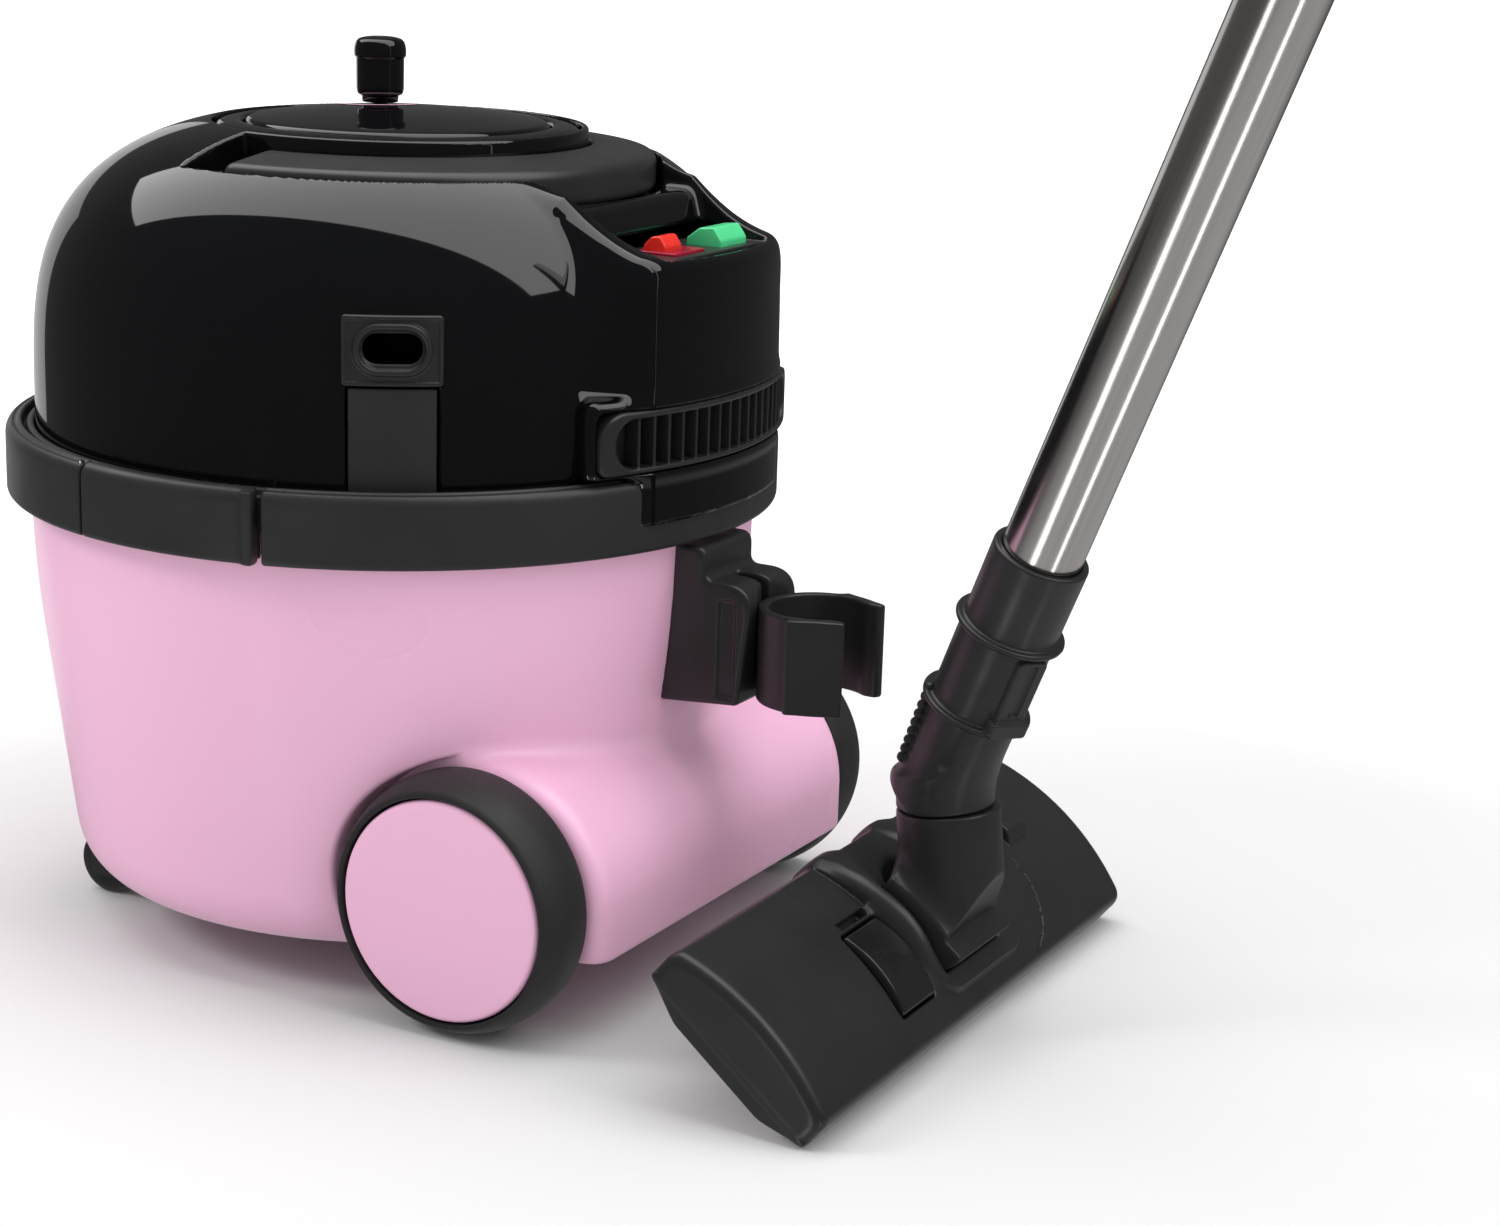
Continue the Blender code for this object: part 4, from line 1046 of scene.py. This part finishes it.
LATCH_TURN = radians(60)         # where the socket's latch sits round the wand


def socket_field(x, y, z):
    """Sleeve that holds the wand, in the wand's frame: two flanges and a latch panel."""
    r = np.hypot(x, y)
    sleeve = smax(r - 18.3 - 0.008 * (z - 72), np.abs(z - 71.3) - 36.0, 1.4)
    body = sleeve
    for height in (38.0, 74.0):
        flange = smax(r - 21.5, np.abs(z - height) - 1.2, 1.4)
        body = smin(body, flange, 1.6)
    face = y * sin(LATCH_TURN) + x * cos(LATCH_TURN)
    across = y * cos(LATCH_TURN) - x * sin(LATCH_TURN)
    panel = smax(plate(across, z - 56, 6.5, 15.5, 2.5), np.abs(face - 18.6) - 1.5, 1.0)
    body = smin(body, panel, 0.8)
    lug = smax(plate(across, z - 41, 8.5, 3.4, 1.5), np.abs(face - 19.5) - 2.6, 1.0)
    body = smin(body, lug, 0.8)
    groove = smax(plate(across, z - 58, 2.3, 11.5, 1.2), 18.9 - face, 0.5)
    body = cut(body, groove, 0.6)
    return cut(body, smax(r - 15.7, 60 - z, 0.5), 0.8)


def make_neck():
    lathe("pin_shell", [(0, -23, 0), (3, -23, 0.4), (3, 23, 0.4), (0, 23, 0)], "floor_tool",
          ["knuckle_pin"], paint["steel"],
          TOOL @ along(Vector((0, PIVOT_V, PIVOT_W)), Vector((1, 0, 0))), 48)
    skin("knuckle_shell", knuckle_field, (-10, 222, 14), (46, 304, 102), 0.75, "neck",
         ["neck_knuckle"], paint["black_satin"], GROUP)
    skin("elbow_shell", elbow_field, (-6, 235, 85), (48, 305, 150), 0.7, "elbow",
         ["neck_elbow"], paint["black_satin"], GROUP)
    skin("socket_shell", socket_field, (-24, -24, 33), (24, 24, 109), 0.7, "elbow",
         ["neck_socket"], paint["black_satin"], WAND)
    lathe("wand_shell", [(14.4, 62, 0), (15.5, 62, 0.3), (15.5, 500, 1), (14.7, 507, 1),
                         (14.4, 550, 0.3), (13.4, 550, 0.2), (13.5, 508, 0), (14.4, 500, 0)],
          "wand", ["wand_tube"], paint["steel"], WAND, 160)


# ---------------------------------------------------------------- stage
FILL = 0.68                      # strength of the world on matt faces
BACKDROP = 1.1                   # strength of the world behind everything
CARD_AIM = Vector((0.03, 0.3, 0.4))
CARD_RUN = 3.0                   # metres from the wand to the cards, level


def area(name, spot, target, size, power):
    """Rectangular light at a spot, turned to its target."""
    data = bpy.data.lights.new(name, "AREA")
    data.shape = "RECTANGLE"
    data.size, data.size_y = size
    data.energy = power
    lamp = bpy.data.objects.new(name, data)
    way = (Vector(target) - Vector(spot)).normalized()
    turn = (-way).to_track_quat("Z", "Y").to_matrix().to_4x4()
    lamp.matrix_world = Matrix.Translation(spot) @ turn
    bpy.context.scene.collection.objects.link(lamp)
    return lamp


def make_floor():
    """White floor that shades near the cleaner and glows faintly further out."""
    mesh = bpy.data.meshes.new("floor")
    reach = 40.0
    mesh.from_pydata([(-reach, -reach, 0), (reach, -reach, 0), (reach, reach, 0),
                      (-reach, reach, 0)], [], [(0, 1, 2, 3)])
    floor = bpy.data.objects.new("floor", mesh)
    bpy.context.scene.collection.objects.link(floor)
    made = Nodes("floor_white")
    made.set(Base_Color=(0.6, 0.6, 0.6, 1), Roughness=1.0, Specular_IOR_Level=0.0,
             Emission_Color=(1, 1, 1, 1))
    distance = made.node("ShaderNodeVectorMath", operation="LENGTH")
    made.link(made.coordinates(), "Vector", distance, "Vector")
    glow = made.ramp(distance, "Value", 0.0, 0.9, 0.42, 1.5)
    made.link(glow, "Result", made.shader, "Emission Strength")
    mesh.materials.append(made.material)
    floor.visible_glossy = False


def make_world():
    """White to the camera, soft fill on matt faces and a dim room in reflections."""
    world = bpy.data.worlds.new("world")
    world.use_nodes = True
    tree = world.node_tree
    background = tree.nodes["Background"]
    background.inputs["Color"].default_value = (1, 1, 1, 1)
    where = tree.nodes.new("ShaderNodeTexCoord")
    split = tree.nodes.new("ShaderNodeSeparateXYZ")
    tree.links.new(where.outputs["Generated"], split.inputs["Vector"])
    room = tree.nodes.new("ShaderNodeMapRange")
    for name, value in (("From Min", -0.5), ("From Max", -0.22),
                        ("To Min", 0.45), ("To Max", 0.09)):
        room.inputs[name].default_value = value
    tree.links.new(split.outputs["Z"], room.inputs["Value"])
    path = tree.nodes.new("ShaderNodeLightPath")
    matt = tree.nodes.new("ShaderNodeMix")
    matt.inputs["A"].default_value = FILL
    tree.links.new(path.outputs["Is Glossy Ray"], matt.inputs["Factor"])
    tree.links.new(room.outputs["Result"], matt.inputs["B"])
    seen = tree.nodes.new("ShaderNodeMix")
    seen.inputs["B"].default_value = BACKDROP
    tree.links.new(path.outputs["Is Camera Ray"], seen.inputs["Factor"])
    tree.links.new(matt.outputs["Result"], seen.inputs["A"])
    tree.links.new(seen.outputs["Result"], background.inputs["Strength"])
    bpy.context.scene.world = world


def make_lights():
    """Long box overhead, matt-only key and fill, and cards seen only in reflections."""
    area("overhead", (-0.10, AXIS_Y + 0.2, 1.34), (-0.10, AXIS_Y + 0.2, 0), (1.0, 3.9), 34)
    key = area("key_left", (1.5, -2.0, 1.9), (0, 0, 0.2), (0.9, 0.9), 32)
    key.visible_glossy = False
    side = area("fill_right", (-0.3, 3.0, 1.0), (0, 0.1, 0.15), (1.6, 1.6), 17)
    side.visible_glossy = False
    reflected = (("strip_left", -16.0, -0.79, (0.34, 3.3), 22),
                 ("strip_right", 57.0, -0.90, (0.34, 2.4), 15),
                 ("rim_card", -118.0, -0.12, (1.4, 1.6), 4.5))
    for name, bearing, fall, size, power in reflected:
        way = Vector((cos(radians(bearing)), sin(radians(bearing)), fall))
        lamp = area(name, CARD_AIM + way * CARD_RUN, CARD_AIM, size, power)
        lamp.visible_diffuse = False


def make_stage():
    make_floor()
    make_world()
    make_lights()
    bpy.context.scene.view_settings.view_transform = "Standard"


# ---------------------------------------------------------------- build
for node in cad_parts.values():
    kind = node.data.materials[0].name.split(".")[0]
    node.data.materials[0] = paint[kind]
make_camera()
make_hood()
make_tub()
make_ring()
make_latches()
make_hood_fittings()
make_top()
make_switches()
make_wheels()
make_dock()
make_tool()
make_neck()
make_stage()
